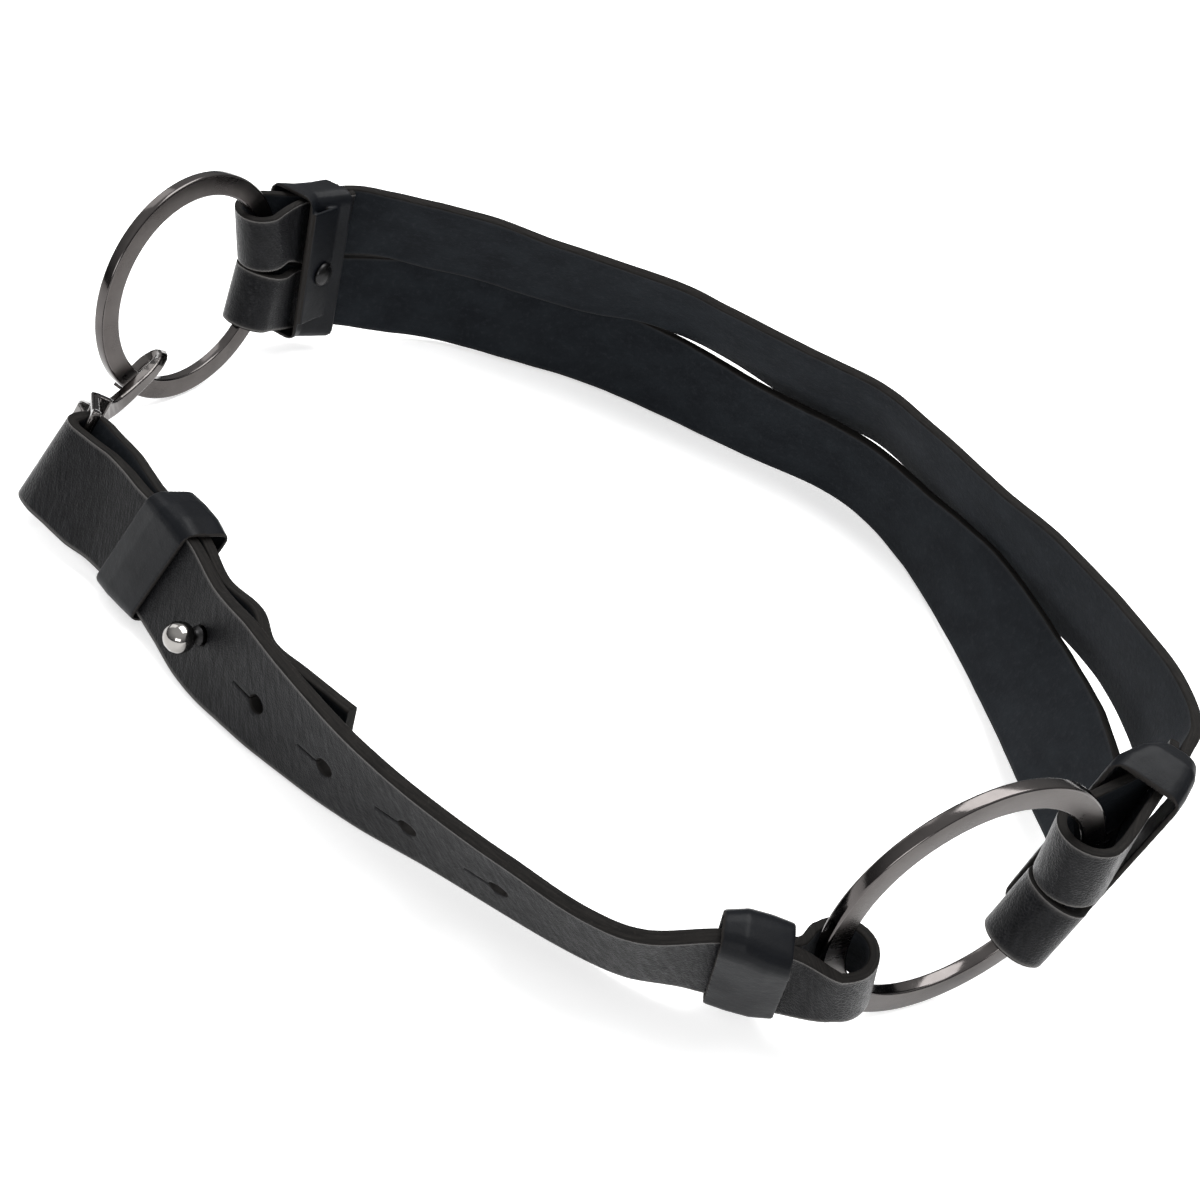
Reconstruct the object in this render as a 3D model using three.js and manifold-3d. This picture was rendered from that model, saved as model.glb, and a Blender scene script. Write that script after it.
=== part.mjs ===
// Ring belt: two flat metal rings joined by two stacked straps on one side and by one holed strap on the
// other, which folds into a wide loop for a cast hook and comes back behind itself to a ball stud.
// Millimetres, +Z up. The belt stands on its lower edges. The origin is the bottom centre of its box.

import * as THREE from 'three';
import { mergeVertices } from 'three/addons/utils/BufferGeometryUtils.js';
import Module from 'manifold-3d';

const wasm = await Module();
wasm.setup();

// Driving dimensions
const RING_OUTER_RADIUS = 35;
const RING_BAR_RADIAL = 6.3;
const RING_BAR_AXIAL = 3.2;
const RING_BAR_EDGE = 0.7;
const RING_SPACING = 275.4;
const RING_SEGMENTS = 64;
const STRAP_WIDTH = 30;
const FRONT_THICK = 3;
const BACK_THICK = 2.8;
const LOOP_THICK = 2.2;
const LOOP_INNER_RADIUS = 5.7;
const LEATHER_EDGE = 0.45;
const GAP = 0.35;
const KEEPER_THICK = 1.7;
const HOLE_DIAMETER = 4.6;
const HOLE_SIDES = 20;
const TURNED_SIDES = 20;
const SLIT_LENGTH = 8.8;
const SLIT_WIDTH = 0.45;
const BALL_DIAMETER = 7.6;
const STUD_NECK_RADIUS = 1.8;
const STUD_REACH = 24;
const BELT_MIDDLE = new THREE.Vector2(0, 40);
const STRAP_STEP = 9;
const FINE_STEP = 2;
const TWIST_STEP = 0.12;
const BAND_LENGTH = 16.5;
const BAND_CORNER = 4.2;
const BAND_INSIDE_CORNER = 0.9;
const BAND_STATIONS = 4;
const SINGLE_TALLEST = 36;
const BAND_DEEPEST = 11;
const RIGHT_BAND_LENGTH = 12.5;
const DOUBLE_TALLEST = 90;
const HOOK_BAND_X = -55.5;
const HOOK_BAND_SLACK = 3.5;
const FRONT_BAND_X = 115.8;
const FRONT_BAND_LENGTH = 15;
const LEFT_BAND_Y = 47.5;
const RIGHT_BAND_Y = 47.5;
const RIGHT_BAND_SHIFT = 6;

const UP = new THREE.Vector3(0, 0, 1);

// Rings: where each stands, and which way its flat face looks in the floor plane
const RINGS = {
  left: { x: -RING_SPACING / 2, y: 0, faceX: 0.981, faceY: 0.192 },
  right: { x: RING_SPACING / 2, y: 0, faceX: 0.927, faceY: -0.375 },
};

// Long runs. Each row is a place on the middle of the strap's lower edge, with the height of that
// edge and how many degrees the top leans out of the belt, or how far the top edge lies from the lower
// one in x and y. Width and thick are given where they change.
const LOWER_RUN = [
  { x: -147.5, y: 48, z: 8.0, lean: 2, width: 21.5, thick: LOOP_THICK },
  { x: -146.5, y: 62, z: 6, lean: 2, width: 24 },
  { x: -140.5, y: 80.5, z: 2.6, lean: 2, width: 27 },
  { x: -132, y: 98, z: 0.5, lean: 1 },
  { x: -113.5, y: 114, z: 0, lean: 1 },
  { x: -89, y: 131, z: 0, lean: 1 },
  { x: -60.5, y: 142.5, z: 0, lean: -3 },
  { x: -30.5, y: 151.5, z: 0, lean: -13 },
  { x: -2.5, y: 161.5, z: 0, lean: -18 },
  { x: 16, y: 161, z: 0, lean: -16 },
  { x: 39.5, y: 151.5, z: 0, lean: -7, width: 28.6 },
  { x: 67, y: 132, z: 1, lean: 9, width: 30.6 },
  { x: 95.5, y: 107.5, z: 3, lean: 20 },
  { x: 118, y: 84, z: 7, lean: 21 },
  { x: 137.5, y: 64.5, z: 10.5, lean: 15, width: 26.5 },
  { x: 144.2, y: 55.2, z: 11.5, lean: 12, width: 25.2 },
  { x: 147.5, y: 50, z: 12, lean: 10, width: 24.5, thick: LOOP_THICK },
];

const UPPER_RUN = [
  { x: -148.5, y: 48, z: 30.6, lean: -2, width: 23, thick: LOOP_THICK },
  { x: -147.5, y: 62, z: 31, lean: -6, width: 24 },
  { x: -143, y: 74, z: 31, lean: -20, width: 26.5 },
  { x: -133.5, y: 88.5, z: 28.8, lean: -25 },
  { x: -120.5, y: 103.5, z: 27.8, lean: -26 },
  { x: -106, y: 116.5, z: 26.4, lean: -28 },
  { x: -89.5, y: 127.5, z: 27.2, lean: -31 },
  { x: -75, y: 135.5, z: 30.2, lean: -37 },
  { x: -61.5, y: 143, z: 30.2, lean: -38 },
  { x: -45.5, y: 148, z: 29.4, lean: -38 },
  { x: -18, y: 156, z: 25.5, lean: -32 },
  { x: 10, y: 163, z: 25.4, lean: -33 },
  { x: 38, y: 156, z: 24, lean: -29 },
  { x: 70.5, y: 142.3, z: 23.4, lean: -24 },
  { x: 89.5, y: 132, z: 25, lean: -20 },
  { x: 116.5, y: 115, z: 28.5, lean: -19, width: 28.5 },
  { x: 140.5, y: 87, z: 32.5, lean: -9, width: 28.5 },
  { x: 148.5, y: 67.5, z: 37, lean: 2, width: 25 },
  { x: 150.2, y: 57.5, z: 37, lean: 3.3, width: 24.3 },
  { x: 150.8, y: 52.5, z: 37, lean: 4, width: 24, thick: LOOP_THICK },
];

const FRONT_RUN = [
  { x: 120.5, y: -32.5, z: 5.5, lean: 12, width: 24 },
  { x: 107, y: -40.5, z: 4.3, lean: 20 },
  { x: 94.5, y: -48, z: 1.2, lean: 27 },
  { x: 86, y: -51, z: 0.0, lean: 28 },
  { x: 66.5, y: -57, z: 0.0, lean: 25 },
  { x: 46, y: -62.5, z: 0.0, lean: 21 },
  { x: 26, y: -68.5, z: 0.0, lean: 12 },
  { x: 1, y: -72.5, z: 0.0, lean: 0 },
  { x: -12.5, y: -74, z: 0.0, lean: -7 },
  { x: -28.5, y: -74, z: 0.0, lean: -14, width: 28 },
  { x: -45, y: -72, z: 2.6, lean: -17, width: 28 },
  { x: -57.2, y: -70.3, z: 4, topX: 0, topY: 7, width: 26.8 },
  { x: -66.2, y: -70.2, z: 3.8, topX: 0, topY: 7.6, width: 26.8 },
  { x: -75.7, y: -70.2, z: 3.6, topX: 0.4, topY: 9, width: 27 },
  { x: -82.9, y: -71.4, z: 3.4, topX: 0.6, topY: 10.8, width: 27.5 },
  { x: -91.9, y: -72.1, z: 4, topX: 1.2, topY: 11, width: 26.6 },
  { x: -99.9, y: -72.6, z: 4.6, topX: 2.2, topY: 11.2, width: 26.2 },
  { x: -104.3, y: -71.4, z: 4.6, topX: 3.6, topY: 11.4, width: 26.2 },
  { x: -105.7, y: -68.6, z: 4.6, topX: 4.4, topY: 11.4, width: 26.2 },
  { x: -104.1, y: -66.1, z: 4.6, topX: 3.6, topY: 11.5, width: 26.2 },
  { x: -98.4, y: -65.1, z: 4.6, topX: 2.4, topY: 11.4, width: 26.2 },
  { x: -90.4, y: -65.1, z: 4, topX: 1, topY: 10.8, width: 26.6 },
  { x: -80.9, y: -65.4, z: 3.4, topX: 1, topY: 10.4, width: 27 },
  { x: -74.7, y: -65.6, z: 3.7, topX: 1, topY: 9.2, width: 26.4 },
  { x: -66.7, y: -66.1, z: 3.9, topX: 0.6, topY: 7.9, width: 26 },
  { x: -57.2, y: -66.5, z: 4, topX: 0.4, topY: 7.1, width: 26 },
  { x: -45, y: -68, z: 2.6, lean: -17, width: 27 },
  { x: -31.5, y: -69.5, z: 0.0, lean: -14, width: 26.5 },
  { x: -19, y: -68, z: 0.0, lean: -10, width: 26.5 },
  { x: -7.5, y: -70.5, z: 0.0, lean: -4, width: 27 },
  { x: 4.5, y: -69.5, z: 0.2, lean: -3, width: 27 },
  { x: 19.5, y: -67, z: 0.3, lean: 0, width: 27 },
];

// Vector helpers
const vec = (x, y, z) => new THREE.Vector3(x, y, z);
const along = (from, direction, distance) => from.clone().addScaledVector(direction, distance);

function ringFrame({ x, y, faceX, faceY }) {
  const face = vec(faceX, faceY, 0).normalize();
  return { centre: vec(x, y, RING_OUTER_RADIUS), face, side: vec(-face.y, face.x, 0) };
}

// The place on a ring's bar at an angle from its side direction, and the bar's run there
function barAt(ring, degrees, radius) {
  const a = THREE.MathUtils.degToRad(degrees);
  const out = ring.side.clone().multiplyScalar(Math.cos(a)).addScaledVector(UP, Math.sin(a));
  const run = ring.side.clone().multiplyScalar(-Math.sin(a)).addScaledVector(UP, Math.cos(a));
  if (run.z < 0) run.negate();
  return { place: along(ring.centre, out, radius), out, run };
}

// Closed solids from geometry, and back
function toManifold(geometry) {
  const bare = geometry.clone();
  bare.deleteAttribute('normal');
  bare.deleteAttribute('uv');
  const merged = mergeVertices(bare, 1e-4);
  return new wasm.Manifold(new wasm.Mesh({
    numProp: 3,
    vertProperties: new Float32Array(merged.attributes.position.array),
    triVerts: new Uint32Array(merged.index.array),
  }));
}

function fromManifold(solid) {
  const { vertProperties, triVerts } = solid.getMesh();
  const geometry = new THREE.BufferGeometry();
  geometry.setAttribute('position', new THREE.BufferAttribute(vertProperties, 3));
  geometry.setIndex(new THREE.BufferAttribute(triVerts, 1));
  return geometry;
}

const cut = (body, ...tools) => fromManifold(
  tools.reduce((left, tool) => left.subtract(toManifold(tool)), toManifold(body)));
const join = (first, ...others) => fromManifold(
  others.reduce((left, other) => left.add(toManifold(other)), toManifold(first)));

// Places a geometry made round the origin: its x, y and z axes go to the three directions given
function placed(geometry, origin, xAxis, yAxis, zAxis) {
  const matrix = new THREE.Matrix4().makeBasis(xAxis, yAxis, zAxis).setPosition(origin);
  return geometry.applyMatrix4(matrix);
}

// A run's rows as sections: the middle of the strap, its width direction, its width and its thickness
function runSections(rows, thick) {
  return rows.map((row, i) => {
    const before = rows[Math.max(i - 1, 0)];
    const after = rows[Math.min(i + 1, rows.length - 1)];
    const ahead = new THREE.Vector2(after.x - before.x, after.y - before.y).normalize();
    const outward = new THREE.Vector2(-ahead.y, ahead.x);
    const fromMiddle = new THREE.Vector2(row.x, row.y).sub(BELT_MIDDLE);
    if (outward.dot(fromMiddle) < 0) outward.negate();
    const width = row.width ?? STRAP_WIDTH;
    const rowThick = row.thick ?? thick;
    const top = row.lean === undefined
      ? new THREE.Vector2(row.topX, row.topY)
      : outward.multiplyScalar(width * Math.sin(THREE.MathUtils.degToRad(row.lean)));
    const up = vec(top.x, top.y, Math.sqrt(width * width - top.lengthSq())).normalize();
    const foot = vec(row.x, row.y, row.z + rowThick / 2 * Math.hypot(up.x, up.y));
    return { at: along(foot, up, width / 2), up, width, thick: rowThick };
  });
}

// The fold of a strap's end round a ring's bar: the short ply tucked behind the strap's first two
// sections, on the bar's side, then the way round the bar to where those sections begin. The shift moves
// the round part outward, where the bar lies against the leather's inner side.
const FOLD_UPRIGHT = 0.38;
const FOLD_ANGLES = [70, 110, 145, 180, 215, 250, 290];
function foldSections(bar, width, [nearest, next], shift = 0) {
  const radius = LOOP_INNER_RADIUS + LOOP_THICK / 2;
  const axis = bar.run.clone().lerp(UP, FOLD_UPRIGHT).normalize();
  const toBar = bar.place.clone().sub(nearest.at);
  const ahead = toBar.clone().negate().addScaledVector(axis, toBar.dot(axis)).normalize();
  const travel = next.at.clone().sub(nearest.at).normalize();
  const inward = new THREE.Vector3().crossVectors(nearest.up, travel).normalize();
  const toMiddle = vec(BELT_MIDDLE.x, BELT_MIDDLE.y, 0).sub(nearest.at);
  if (inward.dot(toMiddle) < 0) inward.negate();
  const across = new THREE.Vector3().crossVectors(axis, ahead).normalize();
  if (across.dot(inward) < 0) across.negate();
  const tuck = [next, nearest].map((s) => ({
    ...s, at: along(s.at, inward, (s.thick + LOOP_THICK) / 2 + GAP), thick: LOOP_THICK,
  }));
  const centre = along(bar.place, across, -shift);
  const round = FOLD_ANGLES.map((degrees) => {
    const a = THREE.MathUtils.degToRad(degrees);
    return {
      at: along(along(centre, ahead, radius * Math.cos(a)), across, radius * Math.sin(a)),
      up: axis, width, thick: LOOP_THICK,
    };
  });
  return [...tuck, ...round];
}

// A smooth value between b and c, with a before them and d after them
function between(a, b, c, d, t) {
  const slopeB = (c - a) / 2;
  const slopeC = (d - b) / 2;
  const rise = c - b;
  return b + t * (slopeB + t * (3 * rise - 2 * slopeB - slopeC + t * (slopeB + slopeC - 2 * rise)));
}

// Sections close enough together to look smooth, through the given ones
function smoothSections(sections, stepLength) {
  const middle = new THREE.CatmullRomCurve3(sections.map((s) => s.at), false, 'centripetal');
  const count = sections.length;
  const result = [];
  for (let i = 0; i < count - 1; i += 1) {
    const [a, b, c, d] = [Math.max(i - 1, 0), i, i + 1, Math.min(i + 2, count - 1)].map((k) => sections[k]);
    const turn = b.up.angleTo(c.up);
    const reach = b.at.distanceTo(c.at);
    const steps = Math.max(2, Math.ceil(reach / stepLength), Math.ceil(turn / TWIST_STEP));
    for (let k = 0; k < steps; k += 1) {
      const t = k / steps;
      const part = (axis) => between(a.up[axis], b.up[axis], c.up[axis], d.up[axis], t);
      const up = vec(part('x'), part('y'), part('z'));
      result.push({
        at: middle.getPoint((i + t) / (count - 1)),
        up: up.normalize(),
        width: THREE.MathUtils.lerp(b.width, c.width, t),
        thick: THREE.MathUtils.lerp(b.thick, c.thick, t),
      });
    }
  }
  result.push(sections[count - 1]);
  return result;
}

// A strap's corners at its sections, with small chamfers on its four long edges, and the closed solid
// through them
function cornerPoints(sections) {
  const corners = [];
  sections.forEach((s, i) => {
    const before = sections[Math.max(i - 1, 0)].at;
    const after = sections[Math.min(i + 1, sections.length - 1)].at;
    const ahead = after.clone().sub(before).normalize();
    const face = new THREE.Vector3().crossVectors(s.up, ahead).normalize();
    const w = s.width / 2;
    const t = s.thick / 2;
    const e = LEATHER_EDGE;
    [[-w, -t + e], [-w + e, -t], [w - e, -t], [w, -t + e], [w, t - e], [w - e, t], [-w + e, t], [-w, t - e]]
      .forEach(([u, v]) => corners.push(along(along(s.at, s.up, u), face, v)));
  });
  return corners;
}

function outward(geometry) {
  const p = geometry.attributes.position;
  const [a, b, c] = [vec(0, 0, 0), vec(0, 0, 0), vec(0, 0, 0)];
  let volume = 0;
  for (let i = 0; i < geometry.index.count; i += 3) {
    [a, b, c].forEach((corner, k) => corner.fromBufferAttribute(p, geometry.index.getX(i + k)));
    volume += a.dot(b.cross(c));
  }
  if (volume < 0) geometry.index.array.reverse();
  return geometry;
}

function ribbon(sections) {
  const corners = cornerPoints(sections);
  const ringSize = 8;
  const index = [];
  for (let i = 0; i < sections.length - 1; i += 1) {
    for (let j = 0; j < ringSize; j += 1) {
      const a = i * ringSize + j;
      const b = i * ringSize + (j + 1) % ringSize;
      index.push(a, b, b + ringSize, a, b + ringSize, a + ringSize);
    }
  }
  const last = (sections.length - 1) * ringSize;
  for (let j = 1; j < ringSize - 1; j += 1) {
    index.push(0, j + 1, j);
    index.push(last, last + j, last + j + 1);
  }
  const geometry = new THREE.BufferGeometry();
  geometry.setAttribute('position', new THREE.Float32BufferAttribute(corners.flatMap((c) => c.toArray()), 3));
  geometry.setIndex(index);
  return outward(geometry);
}

// A flat ring with small chamfers, its axis along z
function flatRing() {
  const outer = RING_OUTER_RADIUS;
  const inner = outer - RING_BAR_RADIAL;
  const h = RING_BAR_AXIAL / 2;
  const e = RING_BAR_EDGE;
  const profile = [
    [inner, -h + e], [inner + e, -h], [outer - e, -h], [outer, -h + e],
    [outer, h - e], [outer - e, h], [inner + e, h], [inner, h - e], [inner, -h + e],
  ].map(([r, y]) => new THREE.Vector2(r, y));
  return new THREE.LatheGeometry(profile, RING_SEGMENTS).rotateX(Math.PI / 2);
}

const leftRing = ringFrame(RINGS.left);
const rightRing = ringFrame(RINGS.right);

const standRing = (ring) => placed(flatRing(), ring.centre, ring.side, UP, ring.face);

// Where each strap's fold sits on its ring
const FOLD_RADIUS = RING_OUTER_RADIUS - 4.2;
const folds = {
  lowerLeft: barAt(leftRing, -20, FOLD_RADIUS),
  upperLeft: barAt(leftRing, 20.5, FOLD_RADIUS),
  lowerRight: barAt(rightRing, -24, FOLD_RADIUS),
  upperRight: barAt(rightRing, 14.5, FOLD_RADIUS),
  front: barAt(rightRing, 204, FOLD_RADIUS),
};

// The sections of each strap, close enough together to look smooth
const FRONT_FOLD_SHIFT = 1.5;
const FOLD_WIDTHS = { lowerLeft: 18.5, upperLeft: 18.5, lowerRight: 17.5, upperRight: 18, front: 15.5 };
function backSections(run, start, end) {
  const long = runSections(run, BACK_THICK);
  const first = foldSections(folds[start], FOLD_WIDTHS[start], long);
  const last = foldSections(folds[end], FOLD_WIDTHS[end], [...long].reverse()).reverse();
  return [...first, ...long, ...last];
}
const frontLong = runSections(FRONT_RUN, FRONT_THICK);
const lowerShape = backSections(LOWER_RUN, 'lowerLeft', 'lowerRight');
const upperShape = backSections(UPPER_RUN, 'upperLeft', 'upperRight');
const frontFold = foldSections(folds.front, FOLD_WIDTHS.front, frontLong, FRONT_FOLD_SHIFT);
const frontShape = [...frontFold, ...frontLong];

// The first place along the front strap at a given x, with the strap's directions there: along it
// towards the hook, across its width, and out of the belt
function frontStation(x) {
  const sections = smoothSections(frontLong, FINE_STEP);
  const i = sections.findIndex((s) => s.at.x <= x);
  const [before, after] = [sections[i - 1], sections[i]];
  const ahead = after.at.clone().sub(before.at).normalize();
  const face = new THREE.Vector3().crossVectors(before.up, ahead).normalize();
  const up = new THREE.Vector3().crossVectors(ahead, face).normalize();
  const share = (before.at.x - x) / (before.at.x - after.at.x);
  return { at: before.at.clone().lerp(after.at, share), ahead, up, face, width: before.width };
}

// A band round everything that passes through it: a rounded rectangle tube of the given length, each of
// its stations clear of the straps' corners near it by the working gap, and by the slack on its inner side
function bandRound(shapes, { at, ahead, up, face }, length, tallest, slack = 0) {
  const thick = KEEPER_THICK;
  const corners = shapes.flatMap((shape) => cornerPoints(smoothSections(shape, FINE_STEP)));
  const near = corners.map((corner) => corner.clone().sub(at))
    .filter((from) => Math.abs(from.dot(up)) < tallest / 2 && Math.abs(from.dot(face)) < BAND_DEEPEST);
  const reach = length / (BAND_STATIONS - 1) / 2 + FINE_STEP;
  const stations = Array.from({ length: BAND_STATIONS }, (_, i) => {
    const place = length * (i / (BAND_STATIONS - 1) - 0.5);
    const here = near.filter((from) => Math.abs(from.dot(ahead) - place) < reach);
    const ups = here.map((from) => from.dot(up));
    const faces = here.map((from) => from.dot(face));
    const hollow = {
      bottom: Math.min(...ups) - GAP, top: Math.max(...ups) + GAP,
      inside: Math.min(...faces) - GAP - slack, outside: Math.max(...faces) + GAP,
    };
    return { place, hollow };
  });
  const ends = [0, BAND_STATIONS - 1];
  const loops = stations.map(({ place, hollow }, i) => {
    const trim = ends.includes(i) ? LEATHER_EDGE : 0;
    const inner = roundedLoop(hollow, 0, BAND_INSIDE_CORNER);
    const outer = roundedLoop(hollow, thick - trim, BAND_CORNER - trim);
    return { place, inner, outer };
  });
  const size = loops[0].inner.length;
  const points = loops.flatMap(({ place, inner, outer }) => [...inner, ...outer].map(([u, v]) => (
    along(along(along(at, ahead, place), up, u), face, v))));
  const index = [];
  const quad = (p, q, r, t) => index.push(p, q, r, p, r, t);
  for (let j = 0; j < size; j += 1) {
    const k = (j + 1) % size;
    const last = (BAND_STATIONS - 1) * 2 * size;
    for (let i = 0; i < BAND_STATIONS - 1; i += 1) {
      const here = i * 2 * size;
      const next = here + 2 * size;
      quad(here + size + j, here + size + k, next + size + k, next + size + j);
      quad(here + k, here + j, next + j, next + k);
    }
    quad(j, k, size + k, size + j);
    quad(last + k, last + j, last + size + j, last + size + k);
  }
  const geometry = new THREE.BufferGeometry();
  geometry.setAttribute('position', new THREE.Float32BufferAttribute(points.flatMap((c) => c.toArray()), 3));
  geometry.setIndex(index);
  return { geometry: outward(geometry), hollow: stations[1].hollow };
}

// A rectangle with rounded corners, grown on all sides, as a loop of points
function roundedLoop({ bottom, top, inside, outside }, grow, radius) {
  const [u0, u1, v0, v1] = [bottom - grow, top + grow, inside - grow, outside + grow];
  const centres = [
    [u1 - radius, v1 - radius, 0], [u0 + radius, v1 - radius, 90],
    [u0 + radius, v0 + radius, 180], [u1 - radius, v0 + radius, 270],
  ];
  return centres.flatMap(([u, v, start]) => [0, 22.5, 45, 67.5, 90].map((turn) => {
    const a = THREE.MathUtils.degToRad(start + turn);
    return [u + radius * Math.cos(a), v + radius * Math.sin(a)];
  }));
}

const material = (color, roughness, metalness) => (
  new THREE.MeshStandardMaterial({ color, roughness, metalness }));
const leather = material(0x1b1c1f, 0.7, 0);
const keeperLeather = material(0x202329, 0.45, 0);
const gunmetal = material(0x5b5654, 0.25, 1);
const nickel = material(0xb8b2ac, 0.15, 1);

const belt = new THREE.Group();
function addPiece(name, geometry, look) {
  const mesh = new THREE.Mesh(geometry, look);
  mesh.name = name;
  belt.add(mesh);
}

addPiece('ring_left', standRing(leftRing), gunmetal);
addPiece('ring_right', standRing(rightRing), gunmetal);
addPiece('strap_lower', ribbon(smoothSections(lowerShape, STRAP_STEP)), leather);
addPiece('strap_upper', ribbon(smoothSections(upperShape, STRAP_STEP)), leather);

// Holes along the front strap: how far along x each is, how high above the lower edge, and the stud's
const HOLES = [
  { x: -3, height: 14 },
  { x: 20.5, height: 14 },
  { x: 44, height: 14.5 },
  { x: 67.5, height: 14.5 },
];
const STUD_PLACE = { x: -27, height: 15.5 };

const onFront = ({ x, height }) => {
  const station = frontStation(x);
  return { ...station, at: along(station.at, station.up, height - station.width / 2) };
};

function holeTools(hole) {
  const { at, ahead, up, face } = onFront(hole);
  const depth = 3 * FRONT_THICK;
  const round = new THREE.CylinderGeometry(HOLE_DIAMETER / 2, HOLE_DIAMETER / 2, depth, HOLE_SIDES);
  const slit = new THREE.BoxGeometry(SLIT_LENGTH, depth, SLIT_WIDTH).translate(-SLIT_LENGTH / 2, 0, 0);
  const back = ahead.clone().negate();
  const third = new THREE.Vector3().crossVectors(back, face);
  return [round, slit].map((tool) => placed(tool, at, back, face, third));
}

const studSeat = onFront(STUD_PLACE);
const studHole = placed(
  new THREE.CylinderGeometry(HOLE_DIAMETER / 2, HOLE_DIAMETER / 2, STUD_REACH, HOLE_SIDES),
  studSeat.at, studSeat.ahead, studSeat.face, studSeat.up);
const frontBody = ribbon(smoothSections(frontShape, STRAP_STEP));
addPiece('strap_front', cut(frontBody, ...HOLES.flatMap(holeTools), studHole), leather);

// Ball stud: a ball on a neck, a shank through both plies and a round foot behind the tail
const STUD_PROFILE = [
  { r: 0, out: -8.6 },
  { r: 4.4, out: -8.6 },
  { r: 4.8, out: -8.1 },
  { r: 4.8, out: -7.7 },
  { r: STUD_NECK_RADIUS, out: -7.5 },
  { r: STUD_NECK_RADIUS, out: 2.0 },
  { r: 2.5, out: 2.2 },
  { r: 2.4, out: 2.8 },
  { r: 1.9, out: 3.3 },
  { r: STUD_NECK_RADIUS, out: 4.2 },
];
const BALL_CENTRE_OUT = 7.4;
const BALL_ROWS = 9;
function studSolid() {
  const ballRadius = BALL_DIAMETER / 2;
  const start = Math.asin(STUD_NECK_RADIUS / ballRadius);
  const ball = Array.from({ length: BALL_ROWS }, (_, i) => {
    const a = start + (Math.PI - start) * (i / (BALL_ROWS - 1));
    return new THREE.Vector2(Math.max(0, ballRadius * Math.sin(a)), BALL_CENTRE_OUT - ballRadius * Math.cos(a));
  });
  const shaft = STUD_PROFILE.map(({ r, out }) => new THREE.Vector2(r, out));
  const turned = new THREE.LatheGeometry([...shaft, ...ball], TURNED_SIDES);
  return placed(turned, studSeat.at, studSeat.ahead, studSeat.face, studSeat.up);
}
addPiece('stud', studSolid(), nickel);

// Bands on the front strap. Neither stands square to the strap in it: the one beside the hook leans
// towards the belt's middle, the one beside the right ring stands straighter.
const HOOK_BAND_UP = vec(0.27, 0.26, 0.93).normalize();
const FRONT_BAND_UP = vec(0.08, -0.36, 0.93).normalize();
function stoodUp({ at, ahead }, up) {
  const face = new THREE.Vector3().crossVectors(up, ahead).normalize();
  return { at, up, face, ahead: new THREE.Vector3().crossVectors(face, up).normalize() };
}
const frontPlies = [frontShape.slice(0, 2), frontLong];
const HOOK_BAND_STATION = stoodUp(frontStation(HOOK_BAND_X), HOOK_BAND_UP);
const hookBand = bandRound(frontPlies, HOOK_BAND_STATION, BAND_LENGTH, SINGLE_TALLEST, HOOK_BAND_SLACK);
addPiece('keeper_hook', hookBand.geometry, keeperLeather);
const FRONT_BAND_STATION = stoodUp(frontStation(FRONT_BAND_X), FRONT_BAND_UP);
const frontBand = bandRound(frontPlies, FRONT_BAND_STATION, FRONT_BAND_LENGTH, SINGLE_TALLEST);
addPiece('keeper_front', frontBand.geometry, keeperLeather);

// Bands round both back straps beside a ring: placed between the two straps at a given y, then shifted
// towards the ring
const LEFT_AHEAD = vec(0.23, -1, 0);
const RIGHT_AHEAD = vec(0.22, -1, 0);
function backStation(y, side, towardsRing, shift) {
  const [lower, upper] = [LOWER_RUN, UPPER_RUN].map((run) => {
    const sections = smoothSections(runSections(run, BACK_THICK), FINE_STEP).filter((s) => s.at.x * side > 0);
    return sections.reduce((best, s) => (Math.abs(s.at.y - y) < Math.abs(best.at.y - y) ? s : best));
  });
  const foot = along(lower.at, lower.up, -lower.width / 2);
  const head = along(upper.at, upper.up, upper.width / 2);
  const up = head.clone().sub(foot).normalize();
  const face = new THREE.Vector3().crossVectors(towardsRing, up).normalize();
  const ahead = new THREE.Vector3().crossVectors(up, face);
  return { at: along(foot.add(head).multiplyScalar(0.5), ahead, shift), ahead, up, face };
}
const LEFT_STATION = backStation(LEFT_BAND_Y, -1, LEFT_AHEAD, 0);
const leftBand = bandRound([lowerShape, upperShape], LEFT_STATION, BAND_LENGTH, DOUBLE_TALLEST);

// The left band's overlap on the belt's inner side, closed by a domed rivet whose shank passes it
const TAB_HEIGHT = 38;
const TAB_WIDTH = 15;
const TAB_THICK = 1.1;
const TAB_SUNK = 0.4;
const RIVET_DROP = 26;
const RIVET_PROFILE = [
  { r: 0, out: -2.8 },
  { r: 1.4, out: -2.8 },
  { r: 1.4, out: 0.3 },
  { r: 3.8, out: 0.3 },
  { r: 3.9, out: 0.7 },
  { r: 3.2, out: 1.4 },
  { r: 1.8, out: 1.9 },
  { r: 0, out: 2.1 },
];
const RIVET_HOLE_RADIUS = 1.7;
const RIVET_HOLE_LENGTH = 12;
const leftUp = LEFT_STATION.up;
const inward = LEFT_STATION.face.clone().negate();
const leftAlong = new THREE.Vector3().crossVectors(leftUp, inward);
const tabTop = leftBand.hollow.top + KEEPER_THICK;
const tabInside = KEEPER_THICK - leftBand.hollow.inside - TAB_SUNK;
const onInside = (height, out) => along(along(LEFT_STATION.at, leftUp, height), inward, tabInside + out);
const tabPlace = onInside(tabTop - TAB_HEIGHT / 2 - BAND_CORNER, TAB_THICK / 2);
const tabSheet = new THREE.BoxGeometry(TAB_HEIGHT, TAB_THICK, TAB_WIDTH);
const tab = placed(tabSheet, tabPlace, leftUp, inward, leftAlong);
const rivetSeat = onInside(tabTop - RIVET_DROP, TAB_THICK);
const onWall = (geometry) => placed(geometry, rivetSeat, leftUp, inward, leftAlong);
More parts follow.
